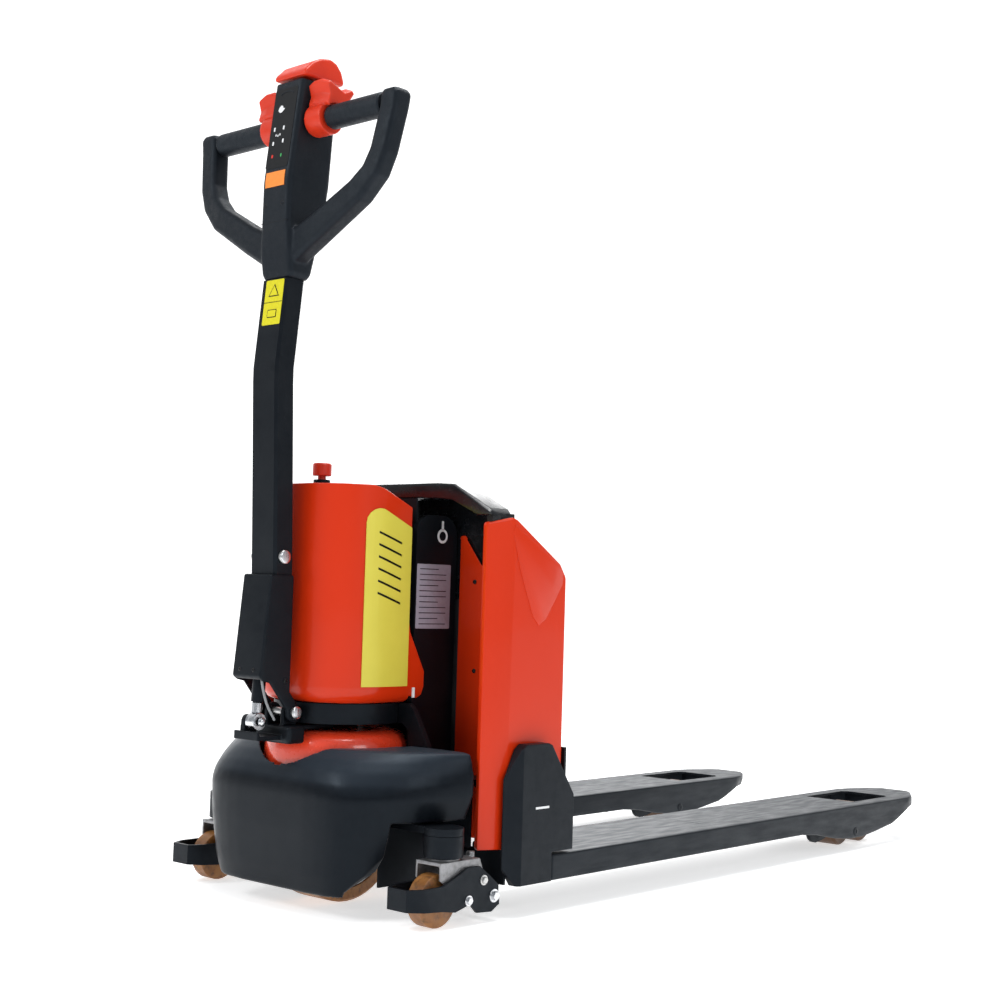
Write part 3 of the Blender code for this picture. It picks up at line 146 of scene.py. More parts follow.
# --- materials ------------------------------------------------------------------------------------
class Shader:
    """A Principled material with a few short ways to add detail to it."""

    def __init__(self, name, colour, rough, metal=0.0, **sockets):
        self.mat = bpy.data.materials.new(name)
        self.mat.use_nodes = True
        self.mat.diffuse_color = (*colour, 1)
        self.tree = self.mat.node_tree
        self.bsdf = self.tree.nodes["Principled BSDF"]
        self.bsdf.inputs["Base Color"].default_value = (*colour, 1)
        self.bsdf.inputs["Roughness"].default_value = rough
        self.bsdf.inputs["Metallic"].default_value = metal
        self.colour = colour
        for key, value in sockets.items():
            self.bsdf.inputs[key.replace("_", " ")].default_value = value
        self.coords = self.tree.nodes.new("ShaderNodeTexCoord")

    def link(self, a, b):
        """Connect an output to an input."""
        self.tree.links.new(a, b)

    def space(self, stretch=(1, 1, 1)):
        """Object coordinates, stretched if asked."""
        if stretch == (1, 1, 1):
            return self.coords.outputs["Object"]
        mapping = self.tree.nodes.new("ShaderNodeMapping")
        mapping.inputs["Scale"].default_value = stretch
        self.link(self.coords.outputs["Object"], mapping.inputs["Vector"])
        return mapping.outputs["Vector"]

    def noise(self, scale, detail=3.0, stretch=(1, 1, 1)):
        tex = self.tree.nodes.new("ShaderNodeTexNoise")
        tex.inputs["Scale"].default_value = scale
        tex.inputs["Detail"].default_value = detail
        tex.inputs["Roughness"].default_value = 0.55
        self.link(self.space(stretch), tex.inputs["Vector"])
        return tex.outputs["Fac"]

    def voronoi(self, scale):
        tex = self.tree.nodes.new("ShaderNodeTexVoronoi")
        tex.feature = "F1"
        tex.inputs["Scale"].default_value = scale
        self.link(self.space(), tex.inputs["Vector"])
        return tex.outputs["Distance"]

    def ramp(self, factor, low, high, start=0.35, end=0.65):
        """Map a factor to a range of values."""
        node = self.tree.nodes.new("ShaderNodeMapRange")
        node.inputs["From Min"].default_value = start
        node.inputs["From Max"].default_value = end
        node.inputs["To Min"].default_value = low
        node.inputs["To Max"].default_value = high
        self.link(factor, node.inputs["Value"])
        return node.outputs["Result"]

    def shade(self, factor, other, start=0.35, end=0.65, amount=1.0):
        """Mix the present base colour with another one where a factor is high."""
        mix = self.tree.nodes.new("ShaderNodeMix")
        mix.data_type = "RGBA"
        self.link(self.ramp(factor, 0.0, amount, start, end), mix.inputs["Factor"])
        source = self.bsdf.inputs["Base Color"]
        if source.is_linked:
            self.link(source.links[0].from_socket, mix.inputs["A"])
        else:
            mix.inputs["A"].default_value = (*self.colour, 1)
        mix.inputs["B"].default_value = (*other, 1)
        self.link(mix.outputs["Result"], source)

    def polish(self, factor, low, high):
        """Vary the roughness with a factor."""
        self.link(self.ramp(factor, low, high), self.bsdf.inputs["Roughness"])

    def bump(self, height, strength, distance):
        """Fine relief that adds no mesh."""
        node = self.tree.nodes.new("ShaderNodeBump")
        node.inputs["Strength"].default_value = strength
        node.inputs["Distance"].default_value = distance
        self.link(height, node.inputs["Height"])
        self.link(node.outputs["Normal"], self.bsdf.inputs["Normal"])

    def facing_up(self):
        """How much the surface looks up, for a painted sheen on top and for lighter tops."""
        geo = self.tree.nodes.new("ShaderNodeNewGeometry")
        split = self.tree.nodes.new("ShaderNodeSeparateXYZ")
        self.link(geo.outputs["Normal"], split.inputs["Vector"])
        return split.outputs["Z"]


COOL = (0.72, 0.86, 1.0, 1.0)


def red_paint():
    """Glossy red lacquer."""
    s = Shader("red_paint", (0.60, 0.030, 0.0035), 0.34, Coat_Weight=0.20, Coat_Roughness=0.06,
               Specular_IOR_Level=0.16)
    s.shade(s.noise(5.0, 2), (0.55, 0.025, 0.003), amount=0.4)
    s.polish(s.noise(38, 2), 0.29, 0.34)
    s.bump(s.noise(420, 1), 0.10, 0.0002)
    return s.mat


def red_plastic():
    """Red moulded plastic with a fine grain."""
    s = Shader("red_plastic", (0.62, 0.034, 0.009), 0.36, Specular_IOR_Level=0.34)
    s.shade(s.noise(30, 3), (0.54, 0.027, 0.008), amount=0.6)
    s.polish(s.noise(160, 3), 0.31, 0.43)
    s.bump(s.voronoi(1500), 0.12, 0.0002)
    return s.mat


def yellow_plastic():
    """Yellow moulded plastic."""
    s = Shader("yellow_plastic", (0.66, 0.58, 0.070), 0.42, Specular_IOR_Level=0.35)
    s.shade(s.noise(22, 3), (0.62, 0.54, 0.062), amount=0.6)
    s.polish(s.noise(90, 3), 0.36, 0.48)
    s.bump(s.noise(900, 2), 0.08, 0.0002)
    return s.mat


def black_moulding():
    """Black moulded plastic with a painted sheen on top."""
    s = Shader("black_moulding", (0.0030, 0.0040, 0.0060), 0.30, Specular_IOR_Level=0.15,
               Specular_Tint=COOL)
    s.shade(s.noise(14, 4), (0.0046, 0.0058, 0.0080), amount=0.7)
    # Painted sheen: surfaces that face up are lightened to a bluish grey, standing in for overhead
    # light.
    s.shade(s.facing_up(), (0.040, 0.052, 0.068), 0.15, 1.10)
    s.polish(s.noise(60, 4), 0.28, 0.38)
    s.bump(s.voronoi(1300), 0.22, 0.0003)
    return s.mat


def black_gloss():
    """Glossy black moulding."""
    s = Shader("black_gloss", (0.0032, 0.0038, 0.0050), 0.24, Specular_IOR_Level=0.50)
    s.shade(s.noise(20, 3), (0.0050, 0.0058, 0.0072), amount=0.7)
    s.polish(s.noise(70, 4), 0.20, 0.29)
    s.bump(s.noise(620, 2), 0.10, 0.0002)
    return s.mat


def lit_red_cap():
    """Red brightened as painted light, for the dome that sits in the shade."""
    s = Shader("lit_red_cap", (0.78, 0.055, 0.018), 0.28, Coat_Weight=0.6, Coat_Roughness=0.05)
    s.shade(s.noise(6.0, 2), (0.70, 0.045, 0.014), amount=0.6)
    s.polish(s.noise(40, 3), 0.22, 0.32)
    s.bump(s.noise(420, 1), 0.08, 0.0002)
    return s.mat


def shaded_roller_pu():
    """Dark polyurethane of the load rollers, darkened as painted shade."""
    s = Shader("shaded_roller_pu", (0.115, 0.050, 0.018), 0.42)
    s.shade(s.noise(40, 5), (0.050, 0.024, 0.011), 0.40, 0.70, 0.9)
    s.polish(s.noise(90, 3), 0.36, 0.56)
    s.bump(s.noise(300, 4), 0.25, 0.0005)
    return s.mat


def black_handle():
    """Grained black plastic of the handle."""
    s = Shader("black_handle", (0.0045, 0.0060, 0.0088), 0.44, Specular_IOR_Level=0.22,
               Specular_Tint=COOL)
    s.shade(s.noise(25, 4), (0.0085, 0.0098, 0.0125), amount=0.7)
    s.polish(s.noise(110, 3), 0.42, 0.56)
    s.bump(s.voronoi(1900), 0.35, 0.0003)
    return s.mat


def black_paint():
    """Powder coat on steel."""
    s = Shader("black_paint", (0.0034, 0.0043, 0.0062), 0.38, Specular_IOR_Level=0.18,
               Specular_Tint=COOL)
    s.shade(s.noise(18, 4), (0.0070, 0.0080, 0.0098), amount=0.6)
    s.polish(s.noise(75, 4), 0.36, 0.50)
    s.bump(s.noise(750, 2), 0.22, 0.0003)
    return s.mat


def fork_paint():
    """Powder coat, lighter on the surfaces that face up."""
    s = Shader("fork_paint", (0.0034, 0.0043, 0.0062), 0.34, Specular_IOR_Level=0.24,
               Specular_Tint=COOL)
    # Surfaces that face up are painted lighter.
    s.shade(s.facing_up(), (0.016, 0.019, 0.023), 0.55, 0.95)
    s.shade(s.noise(60, 5, (1, 0.12, 1)), (0.020, 0.022, 0.024), 0.50, 0.80, 0.5)
    s.polish(s.noise(85, 4, (1, 0.2, 1)), 0.36, 0.52)
    s.bump(s.noise(700, 2), 0.22, 0.0003)
    return s.mat


def grip_rubber():
    """Matt rubber with a coarse grain."""
    s = Shader("grip_rubber", (0.0055, 0.0072, 0.0100), 0.46, Specular_IOR_Level=0.28,
               Specular_Tint=COOL)
    s.polish(s.noise(120, 3), 0.46, 0.60)
    s.bump(s.voronoi(1000), 0.55, 0.0004)
    return s.mat


def polyurethane():
    """Tan polyurethane with dirt on it, its base colour darkened overall as painted shade."""
    s = Shader("polyurethane", (0.32, 0.135, 0.032), 0.42, Subsurface_Weight=0.06)
    s.shade(s.noise(36, 5), (0.20, 0.078, 0.020), 0.40, 0.66, 0.9)
    s.shade(s.noise(110, 4), (0.055, 0.026, 0.012), 0.52, 0.74, 0.75)
    s.polish(s.noise(90, 3), 0.36, 0.58)
    s.bump(s.noise(300, 4), 0.25, 0.0005)
    return s.mat


def zinc_plate():
    """Dull zinc plating."""
    s = Shader("zinc_plate", (0.60, 0.60, 0.60), 0.30, 1.0)
    s.shade(s.noise(70, 4), (0.44, 0.44, 0.42), 0.40, 0.70, 0.8)
    s.polish(s.noise(130, 4), 0.24, 0.44)
    s.bump(s.noise(500, 3), 0.12, 0.0003)
    return s.mat


def cast_metal():
    """Rough cast metal."""
    s = Shader("cast_metal", (0.33, 0.33, 0.34), 0.46, 0.85)
    s.shade(s.noise(90, 5), (0.20, 0.20, 0.20), 0.40, 0.70, 0.8)
    s.polish(s.noise(200, 4), 0.38, 0.60)
    s.bump(s.noise(650, 4), 0.45, 0.0005)
    return s.mat


def bright_steel():
    """Bright turned steel."""
    s = Shader("bright_steel", (0.62, 0.63, 0.65), 0.22, 1.0)
    s.polish(s.noise(260, 3, (1, 1, 0.05)), 0.16, 0.34)
    s.bump(s.noise(700, 2, (1, 1, 0.05)), 0.08, 0.0002)
    return s.mat


def battery_shell():
    """Dark grey plastic shell."""
    s = Shader("battery_shell", (0.020, 0.021, 0.024), 0.50, Specular_IOR_Level=0.40)
    s.shade(s.noise(16, 4), (0.032, 0.034, 0.037), amount=0.5)
    s.bump(s.voronoi(1100), 0.30, 0.0003)
    return s.mat


def flat_mark(name, colour, rough=0.42):
    """Plain printed or painted mark."""
    s = Shader(name, colour, rough, Specular_IOR_Level=0.25)
    s.shade(s.noise(200, 2), tuple(c * 0.86 for c in colour), amount=0.6)
    s.bump(s.noise(900, 2), 0.06, 0.0002)
    return s.mat


RED, RED_PLASTIC, YELLOW = red_paint(), red_plastic(), yellow_plastic()
MOULDING, HANDLE, PAINT, FORK = black_moulding(), black_handle(), black_paint(), fork_paint()
GRIP, PU, ZINC, CAST = grip_rubber(), polyurethane(), zinc_plate(), cast_metal()
STEEL, BATTERY = bright_steel(), battery_shell()
GLOSS, CAP_RED_LIT, ROLLER_SHADED = black_gloss(), lit_red_cap(), shaded_roller_pu()
ORANGE = flat_mark("orange_label", (0.86, 0.26, 0.045))
WHITE = flat_mark("white_mark", (0.78, 0.79, 0.80))
GREEN = flat_mark("green_mark", (0.05, 0.36, 0.10))
SIGNAL = flat_mark("red_mark", (0.60, 0.03, 0.02))
STICKER = flat_mark("yellow_sticker", (0.66, 0.60, 0.015), 0.35)
PLATE = flat_mark("name_plate", (0.34, 0.31, 0.37), 0.34)
INK = flat_mark("ink", (0.0045, 0.0050, 0.0062), 0.36)
CABLE = flat_mark("cable_grey", (0.24, 0.25, 0.26), 0.45)


# --- CAD nodes that keep their own shape ----------------------------------------------------------
def dress(name, mat):
    """Material, eased edges and smooth shading on a CAD node."""
    obj = NODES[name]
    obj.data.materials.clear()
    obj.data.materials.append(mat)
    for face in obj.data.polygons:
        face.use_smooth = True
    weld = obj.modifiers.new("weld", "WELD")
    weld.merge_threshold = 1e-5
    ease = obj.modifiers.new("ease", "BEVEL")
    ease.width, ease.segments = 0.0007, 2
    ease.limit_method, ease.angle_limit = "ANGLE", math.radians(32)
    ease.use_clamp_overlap = True
    ease.harden_normals = False
    even = obj.modifiers.new("even", "WEIGHTED_NORMAL")
    even.keep_sharp = True
    even.weight = 60


LOOKS = {
    "chassis_frame": PAINT, "slewing_bearing_race": STEEL, "base_cover": MOULDING,
    "pump_case": RED, "vent_panel_left": YELLOW, "vent_panel_right": YELLOW,
    "support_ring": PAINT, "stop_collar": MOULDING, "pump_motor": CAST, "oil_tank": BATTERY,
    "motor_controller": BATTERY, "lift_cylinder": PAINT, "stop_knob": RED_PLASTIC,
    "drive_yoke": PAINT, "hub_motor": CAST, "dome_cover": CAP_RED_LIT, "tiller_bracket": PAINT,
    "drive_rim": ZINC, "drive_tread": PU, "tiller_arm": PAINT, "handle_head": HANDLE,
    "grip_left": GRIP, "grip_right": GRIP, "tiller_pivot_pin": ZINC, "gas_spring_pin": ZINC,
    "gas_spring_body": PAINT, "gas_spring_rod": STEEL, "belly_switch": RED_PLASTIC,
    "paddle_left": RED_PLASTIC, "paddle_right": RED_PLASTIC, "lift_rocker": ORANGE,
    "fork_left": FORK, "fork_right": FORK, "heel_frame": PAINT, "side_cover_left": RED,
    "side_cover_right": RED, "top_arch": GLOSS, "battery_pack": BATTERY, "lift_rod": STEEL,
    "lift_rocker_shaft": PAINT,
}
for side in ("left", "right"):
    LOOKS.update({
        "caster_head_" + side: PAINT, "caster_bridge_" + side: CAST, "caster_guard_" + side: PAINT,
        "caster_arm_" + side: ZINC, "caster_wheel_" + side: PU, "push_rod_" + side: STEEL,
        "roller_yoke_" + side: PAINT, "roller_bogie_" + side: ZINC})
    for place in ("front", "rear"):
        LOOKS["load_roller_{}_{}".format(side, place)] = ROLLER_SHADED

for node, look in LOOKS.items():
    dress(node, look)


# --- rounded copies of moulded and cast CAD nodes -------------------------------------------------
def frozen(piece):
    """The piece with its modifiers applied."""
    view = bpy.context.evaluated_depsgraph_get()
    mesh = bpy.data.meshes.new_from_object(piece.evaluated_get(view))
    piece.modifiers.clear()
    piece.data = mesh
    return piece


def melt(piece, voxel, rounds):
    """Melt the edges of a piece into smooth blends."""
    grid = piece.modifiers.new("grid", "REMESH")
    grid.mode, grid.voxel_size, grid.use_smooth_shade = "VOXEL", voxel, True
    smooth = piece.modifiers.new("melt", "SMOOTH")
    smooth.factor, smooth.iterations = 0.5, rounds
    return frozen(piece)


def stand_in(piece, name, mat, body):
    """Show a smooth piece in place of a CAD node, riding on a body."""
    piece.data.materials.clear()
    piece.data.materials.append(mat)
    for polygon in piece.data.polygons:
        polygon.use_smooth = True
    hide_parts(name)
    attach(piece, body)


def soften(name, mat, body, voxel, rounds):
    """Stand-in for a CAD node with its edges melted."""
    source = NODES[name]
    piece = bpy.data.objects.new(name + "_soft", source.data.copy())
    piece.matrix_world = source.matrix_world.copy()
    SCENE.collection.objects.link(piece)
    stand_in(melt(piece, voxel, rounds), name, mat, body)


soften("handle_head", HANDLE, "tiller", 0.0018, 14)
soften("paddle_left", RED_PLASTIC, "paddles", 0.0011, 9)
soften("paddle_right", RED_PLASTIC, "paddles", 0.0011, 9)
soften("belly_switch", RED_PLASTIC, "belly_button", 0.0011, 9)
soften("tiller_bracket", PAINT, "drive_unit", 0.0010, 9)
for side in ("left", "right"):
    soften("caster_bridge_" + side, CAST, "caster_swivel_" + side, 0.0009, 4)


# --- base cover: smooth moulding with the same openings as the CAD one ----------------------------
def loft_object(name, rings):
    """Closed solid through rings of equal length."""
    bm = bmesh.new()
    levels = [[bm.verts.new(p) for p in ring] for ring in rings]
    count = len(rings[0])
    for a, b in zip(levels, levels[1:]):
        for i in range(count):
            j = (i + 1) % count
            bm.faces.new((a[i], a[j], b[j], b[i]))
    bm.faces.new(levels[0])
    bm.faces.new(levels[-1])
    bmesh.ops.recalc_face_normals(bm, faces=bm.faces)
    bmesh.ops.triangulate(bm, faces=bm.faces)
    mesh = bpy.data.meshes.new(name)
    bm.to_mesh(mesh)
    bm.free()
    obj = bpy.data.objects.new(name, mesh)
    SCENE.collection.objects.link(obj)
    return obj


def block(x, y, z):
    """Plain box between pairs of coordinates, given from the fork heels."""
    corners = (x[0], y[0]), (x[1], y[0]), (x[1], y[1]), (x[0], y[1])
    return loft_object("block", [[(px, py + HEEL, h) for px, py in corners] for h in z])


def carve(piece, cutters):
    """Cut some solids out of a piece, and drop them."""
    for cutter in cutters:
        step = piece.modifiers.new("carve", "BOOLEAN")
        step.operation, step.solver, step.object = "DIFFERENCE", "EXACT", cutter
    frozen(piece)
    for cutter in cutters:
        bpy.data.objects.remove(cutter, do_unlink=True)


def cover_ring(z, front, front_x, corner, side_point, rear_x, wall=0.0):
    """One level of the base cover, its corners rounded by cutting them twice."""
    half = [(0.0, front + wall), (front_x, front + wall),
            (corner[0] - wall * 0.7, corner[1] + wall * 0.7),
            (side_point[0] - wall, side_point[1] + wall * 0.4),
            (rear_x - wall, COVER_REAR + wall * 4)]
    for _ in range(2):
        rounder = [half[0]]
        for a, b in zip(half, half[1:]):
            rounder += [(a[0] * 0.75 + b[0] * 0.25, a[1] * 0.75 + b[1] * 0.25),
                        (a[0] * 0.25 + b[0] * 0.75, a[1] * 0.25 + b[1] * 0.75)]
        half = rounder + [half[-1]]
    plan = half + [(-x, y) for x, y in reversed(half[1:])]
    return [(x, y + HEEL, z) for x, y in plan]


COVER_LEVELS = [(0.0300, -0.336, 0.104, (0.138, -0.323), (0.155, -0.284), 0.167),
                (0.060, -0.3425, 0.112, (0.147, -0.327), (0.175, -0.282), 0.191),
                (0.120, -0.3465, 0.116, (0.157, -0.330), (0.197, -0.274), 0.218),
                (0.1700, -0.3480, 0.117, (0.160, -0.331), (0.213, -0.269), 0.2395),
                (0.1880, -0.3455, 0.114, (0.157, -0.327), (0.212, -0.266), 0.2405),
                (0.205, -0.3370, 0.108, (0.151, -0.318), (0.207, -0.262), 0.2395),
                (0.2210, -0.3240, 0.102, (0.143, -0.307), (0.199, -0.255), 0.2370),
                (0.2335, -0.308, 0.096, (0.134, -0.293), (0.190, -0.248), 0.232)]
cover = loft_object("base_cover_skin", [cover_ring(*level) for level in COVER_LEVELS])
melt(cover, 0.0035, 13)
arch_line = [(0.126, -0.013), (0.129, 0.025), (0.1345, 0.0394), (0.1588, 0.0637), (0.1775, 0.0915),
             (0.1869, 0.1065), (0.1942, 0.1210), (0.2018, 0.1330), (0.2114, 0.1368),
             (0.2250, 0.1385), (0.310, 0.1385), (0.310, -0.013)]
room = [cover_ring(*level, wall=COVER_WALL) for level in COVER_LEVELS[1:-1]]
room = ([[(x, y, -0.01) for x, y, _ in cover_ring(*COVER_LEVELS[0], wall=COVER_WALL)]] + room
        + [[(x, y, 0.2255) for x, y, _ in cover_ring(*COVER_LEVELS[-1], wall=COVER_WALL)]])
dome_ring = [(DOME_CUT * math.cos(2 * math.pi * k / 64),
              DRIVE_Y + HEEL + DOME_CUT * math.sin(2 * math.pi * k / 64)) for k in range(64)]
openings = [loft_object("arch", [[(side * x, y + HEEL, z) for x, z in arch_line]
                                 for y in (-0.401, -0.101)]) for side in (1, -1)]
openings.append(block((-0.31, 0.31), (-0.2875, -0.11), (-0.01, 0.1375)))
openings.append(block((-0.118, 0.118), (-0.205, -0.12), (0.10, 0.31)))
openings.append(loft_object("room", room))
openings.append(loft_object("dome", [[(x, y, z) for x, y in dome_ring] for z in (0.10, 0.30)]))
carve(cover, openings)
melt(cover, 0.0015, 4)
stand_in(cover, "base_cover", MOULDING, "chassis")


# --- small parts ----------------------------------------------------------------------------------
def heel(x, y, z):
    """A point given from the fork heels, in the row frame."""
    return Vector((x, y + HEEL, z))


def piece_from(name, bm, mat, body, angle=35):
    """Object from a bmesh, smooth but for its sharp edges, riding on a body."""
    bmesh.ops.recalc_face_normals(bm, faces=bm.faces)
    mesh = bpy.data.meshes.new(name)
    bm.to_mesh(mesh)
    bm.free()
    mesh.materials.append(mat)
    for face in mesh.polygons:
        face.use_smooth = True
    obj = bpy.data.objects.new(name, mesh)
    SCENE.collection.objects.link(obj)
    sharp = math.radians(angle)
    even = bmesh.new()
    even.from_mesh(mesh)
    for edge in even.edges:
        edge.smooth = edge.calc_face_angle(math.pi) < sharp
    even.to_mesh(mesh)
    even.free()
    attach(obj, body)
    return obj


def slab(name, outline, out, height, mat, body, sink=0.0006, edge=0.0):
    """Thin plate on a surface: a flat outline pushed outwards along a direction."""
    out = Vector(out).normalized()
    bm = bmesh.new()
    low = [bm.verts.new(Vector(p) - out * sink) for p in outline]
    high = [bm.verts.new(Vector(p) + out * height) for p in outline]
    bm.faces.new(low)
    top = bm.faces.new(high)
    count = len(outline)
    for i in range(count):
        j = (i + 1) % count
        bm.faces.new((low[i], low[j], high[j], high[i]))
    if edge:
        bmesh.ops.bevel(bm, geom=list(top.edges), offset=edge, segments=2, profile=0.5,
                        affect="EDGES")
    return piece_from(name, bm, mat, body)


def lathe(name, profile, centre, axis, mat, body, segments=24, angle=35):
    """Turned part: (radius, height) pairs around an axis, closed on it."""
    axis = Vector(axis).normalized()
    turn = axis.to_track_quat("Z", "Y")
    bm = bmesh.new()
    rings = []
    for radius, height in profile:
        if radius < 1e-6:
            rings.append([bm.verts.new(Vector(centre) + axis * height)])
            continue
        ring = []
        for k in range(segments):
            w = 2 * math.pi * k / segments
            spot = Vector((radius * math.cos(w), radius * math.sin(w), height))
            ring.append(bm.verts.new(Vector(centre) + turn @ spot))
        rings.append(ring)
    for a, b in zip(rings, rings[1:]):
        for k in range(segments):
            j = (k + 1) % segments
            if len(a) == 1:
                bm.faces.new((a[0], b[k], b[j]))
            elif len(b) == 1:
                bm.faces.new((a[k], a[j], b[0]))
            else:
                bm.faces.new((a[k], a[j], b[j], b[k]))
    return piece_from(name, bm, mat, body, angle)


def button_screw(name, centre, axis, radius, mat, body):
    """Round-headed screw with a socket in its middle."""
    r = radius
    lathe(name, [(0, -0.001), (r, -0.001), (r, 0.12 * r), (0.92 * r, 0.38 * r),
                 (0.70 * r, 0.56 * r), (0.44 * r, 0.64 * r), (0.40 * r, 0.62 * r),
                 (0.40 * r, 0.20 * r), (0, 0.14 * r)], centre, axis, mat, body, 20)


def hex_bolt(name, centre, axis, radius, body, mat):
    """Hexagon head on a washer, with a little chamfer on top."""
    h = radius * 0.75
    lathe(name + "_washer", [(0, -0.001), (radius * 1.45, -0.001), (radius * 1.45, 0.0009),
                             (radius * 1.38, 0.0013), (0, 0.0013)], centre, axis, mat, body, 24)
    lathe(name + "_hex", [(0, 0.0011), (radius, 0.0011), (radius, h),
                          (radius * 0.88, h + radius * 0.12), (0, h + radius * 0.12)], centre, axis,
          mat, body, 6, 20)


def pin_cap(name, centre, axis, radius, height, mat, body):
    """Shiny domed pin end."""
    lathe(name, [(0, -0.0005), (radius, -0.0005), (radius, height * 0.55),
                 (radius * 0.90, height * 0.85), (radius * 0.66, height), (0, height)], centre,
          axis, mat, body, 28)


def hose(name, points, radius, mat, body):
    """Round cable through some points, on a smooth curve with capped ends."""
    per, segments = 8, 12
    pts = [Vector(p) for p in points]
    ends = [2 * pts[0] - pts[1]] + pts + [2 * pts[-1] - pts[-2]]
    path = []
    for i in range(1, len(ends) - 2):
        a, b, c, d = ends[i - 1:i + 3]
        for k in range(per):
            t = k / per
            path.append(0.5 * (2 * b + (c - a) * t + (2 * a - 5 * b + 4 * c - d) * t * t
                               + (3 * b - a - 3 * c + d) * t ** 3))
    path.append(pts[-1])
    bm = bmesh.new()
    rings = []
    guide = Vector((0.3, 0.5, 0.8))
    for i, point in enumerate(path):
        along = (path[min(i + 1, len(path) - 1)] - path[max(i - 1, 0)]).normalized()
        u = along.cross(guide).normalized()
        v = along.cross(u)
        rings.append([bm.verts.new(point + (u * math.cos(w) + v * math.sin(w)) * radius)
                      for w in (2 * math.pi * k / segments for k in range(segments))])
    for a, b in zip(rings, rings[1:]):
        for k in range(segments):
            j = (k + 1) % segments
            bm.faces.new((a[k], a[j], b[j], b[k]))
    bm.faces.new(rings[0])
    bm.faces.new(rings[-1])
    return piece_from(name, bm, mat, body, 60)


def rounded(cx, cz, half_x, half_z, corner, steps=4):
    """Outline of a rectangle with round corners, in two coordinates."""
    out = []
    for sx, sz, start in ((1, 1, 0), (-1, 1, 90), (-1, -1, 180), (1, -1, 270)):
        for k in range(steps + 1):
            w = math.radians(start + 90 * k / steps)
            out.append((cx + sx * (half_x - corner) + corner * math.cos(w),
                        cz + sz * (half_z - corner) + corner * math.sin(w)))
    return out


# --- handle: keypad, marks and labels -------------------------------------------------------------
FACE_OUT = Vector((0, -1, FACE_SLOPE)).normalized()


def face(x, z):
    """A point on the sloping keypad face."""
    return heel(x, FACE_Y + (z - FACE_Z) * FACE_SLOPE, z)


def face_mark(name, outline, mat, height=0.0006):
    """Thin mark on the keypad face."""
    slab(name, [face(x, z) for x, z in outline], FACE_OUT, height, mat, "tiller")


face_mark("keypad_sheet", rounded(-0.0015, 1.1290, 0.0245, 0.0610, 0.004), INK, 0.0004)
face_mark("keypad_symbol", [(-0.0145, 1.1575), (-0.0120, 1.1545), (-0.0080, 1.1530),
                            (-0.0045, 1.1550), (0.0000, 1.1590), (-0.0040, 1.1600),
                            (-0.0055, 1.1635), (-0.0090, 1.1645), (-0.0125, 1.1615)], WHITE)
for number, (x, z) in enumerate([(-0.0168, 1.1286), (0.0033, 1.1286), (-0.0159, 1.1070),
                                 (0.0052, 1.1085)]):
    face_mark("keypad_key_%d" % number, rounded(x, z, 0.0016, 0.0030, 0.0009), WHITE)
for number, (dx, dz) in enumerate([(-0.0045, 0.0010), (0.0, 0.0), (0.0042, 0.0012)]):
    face_mark("keypad_dot_%d" % number, rounded(-0.0075 + dx, 1.1180 + dz, 0.0011, 0.0016, 0.0007),
              WHITE)
face_mark("keypad_red", rounded(-0.0140, 1.0870, 0.0018, 0.0024, 0.0010), SIGNAL)
face_mark("keypad_green", rounded(0.0053, 1.0865, 0.0014, 0.0024, 0.0009), GREEN)
bow = [(0.0140 * math.cos(w) + 0.001, 1.1810 + 0.0042 * math.sin(w)) for w in
       (math.radians(180 - 20 * k) for k in range(10))]
face_mark("keypad_bow", bow + [(x * 0.90, z - 0.0012) for x, z in reversed(bow)], HANDLE, 0.0009)
label = [face(x, z) for x, z in ((-0.0215, FACE_Z), (0.0200, FACE_Z), (0.0200, 1.0625),
                                 (-0.0215, 1.0625))]
label_low = [heel(x, FACE_Y, z) for x, z in ((-0.0215, 1.0400), (0.0200, 1.0400),
                                             (0.0200, FACE_Z), (-0.0215, FACE_Z))]
slab("handle_label", label, FACE_OUT, 0.0005, ORANGE, "tiller")
slab("handle_label_low", label_low, (0, -1, 0), 0.0005, ORANGE, "tiller")
for number, (x, z) in enumerate([(-0.0195, 1.0135), (0.0170, 1.0145)]):
    lathe("handle_screw_%d" % number, [(0, -0.0010), (0.0034, -0.0010), (0.0034, 0.0002),
                                       (0.0026, 0.0004), (0.0024, -0.0004), (0, -0.0005)],
          heel(x, FACE_Y, z), (0, -1, 0), INK, "tiller", 20)
slab("handle_seam", [heel(x, SEAM_Y, z) for x, z in ((-0.0290, 0.9876), (0.0290, 0.9876),
                                                     (0.0290, 0.9882), (-0.0290, 0.9882))],
     (0, -1, 0), 0.0004, INK, "tiller")

# Arm sticker: plain yellow with two plain dark marks.
ARM_OUT = Vector((0, -1, 0.096)).normalized()


def arm_face(x, z):
    """A point on the front of the tiller arm, near its top."""
    return heel(x, ARM_Y + (z - ARM_Z) * ARM_SLOPE, z)


def arm_mark(name, outline, mat, height):
    """Thin mark on the front of the arm."""
    slab(name, [arm_face(x, z) for x, z in outline], ARM_OUT, height, mat, "tiller")


arm_mark("arm_sticker", rounded(0.0035, 0.8703, 0.0195, 0.0333, 0.002), STICKER, 0.0004)
arm_mark("arm_sticker_line", [(-0.0160, 0.8700), (0.0230, 0.8700), (0.0230, 0.8708),
                              (-0.0160, 0.8708)], INK, 0.0007)
arm_mark("arm_sticker_upper", [(-0.0080, 0.8790), (0.0150, 0.8790), (0.0035, 0.8975)], INK, 0.0007)
arm_mark("arm_sticker_upper_in", [(-0.0055, 0.8804), (0.0125, 0.8804), (0.0035, 0.8948)], STICKER,
         0.0010)
arm_mark("arm_sticker_lower", rounded(0.0035, 0.8535, 0.0100, 0.0060, 0.0015), INK, 0.0007)
arm_mark("arm_sticker_lower_in", rounded(0.0035, 0.8535, 0.0088, 0.0048, 0.0010), STICKER, 0.0010)

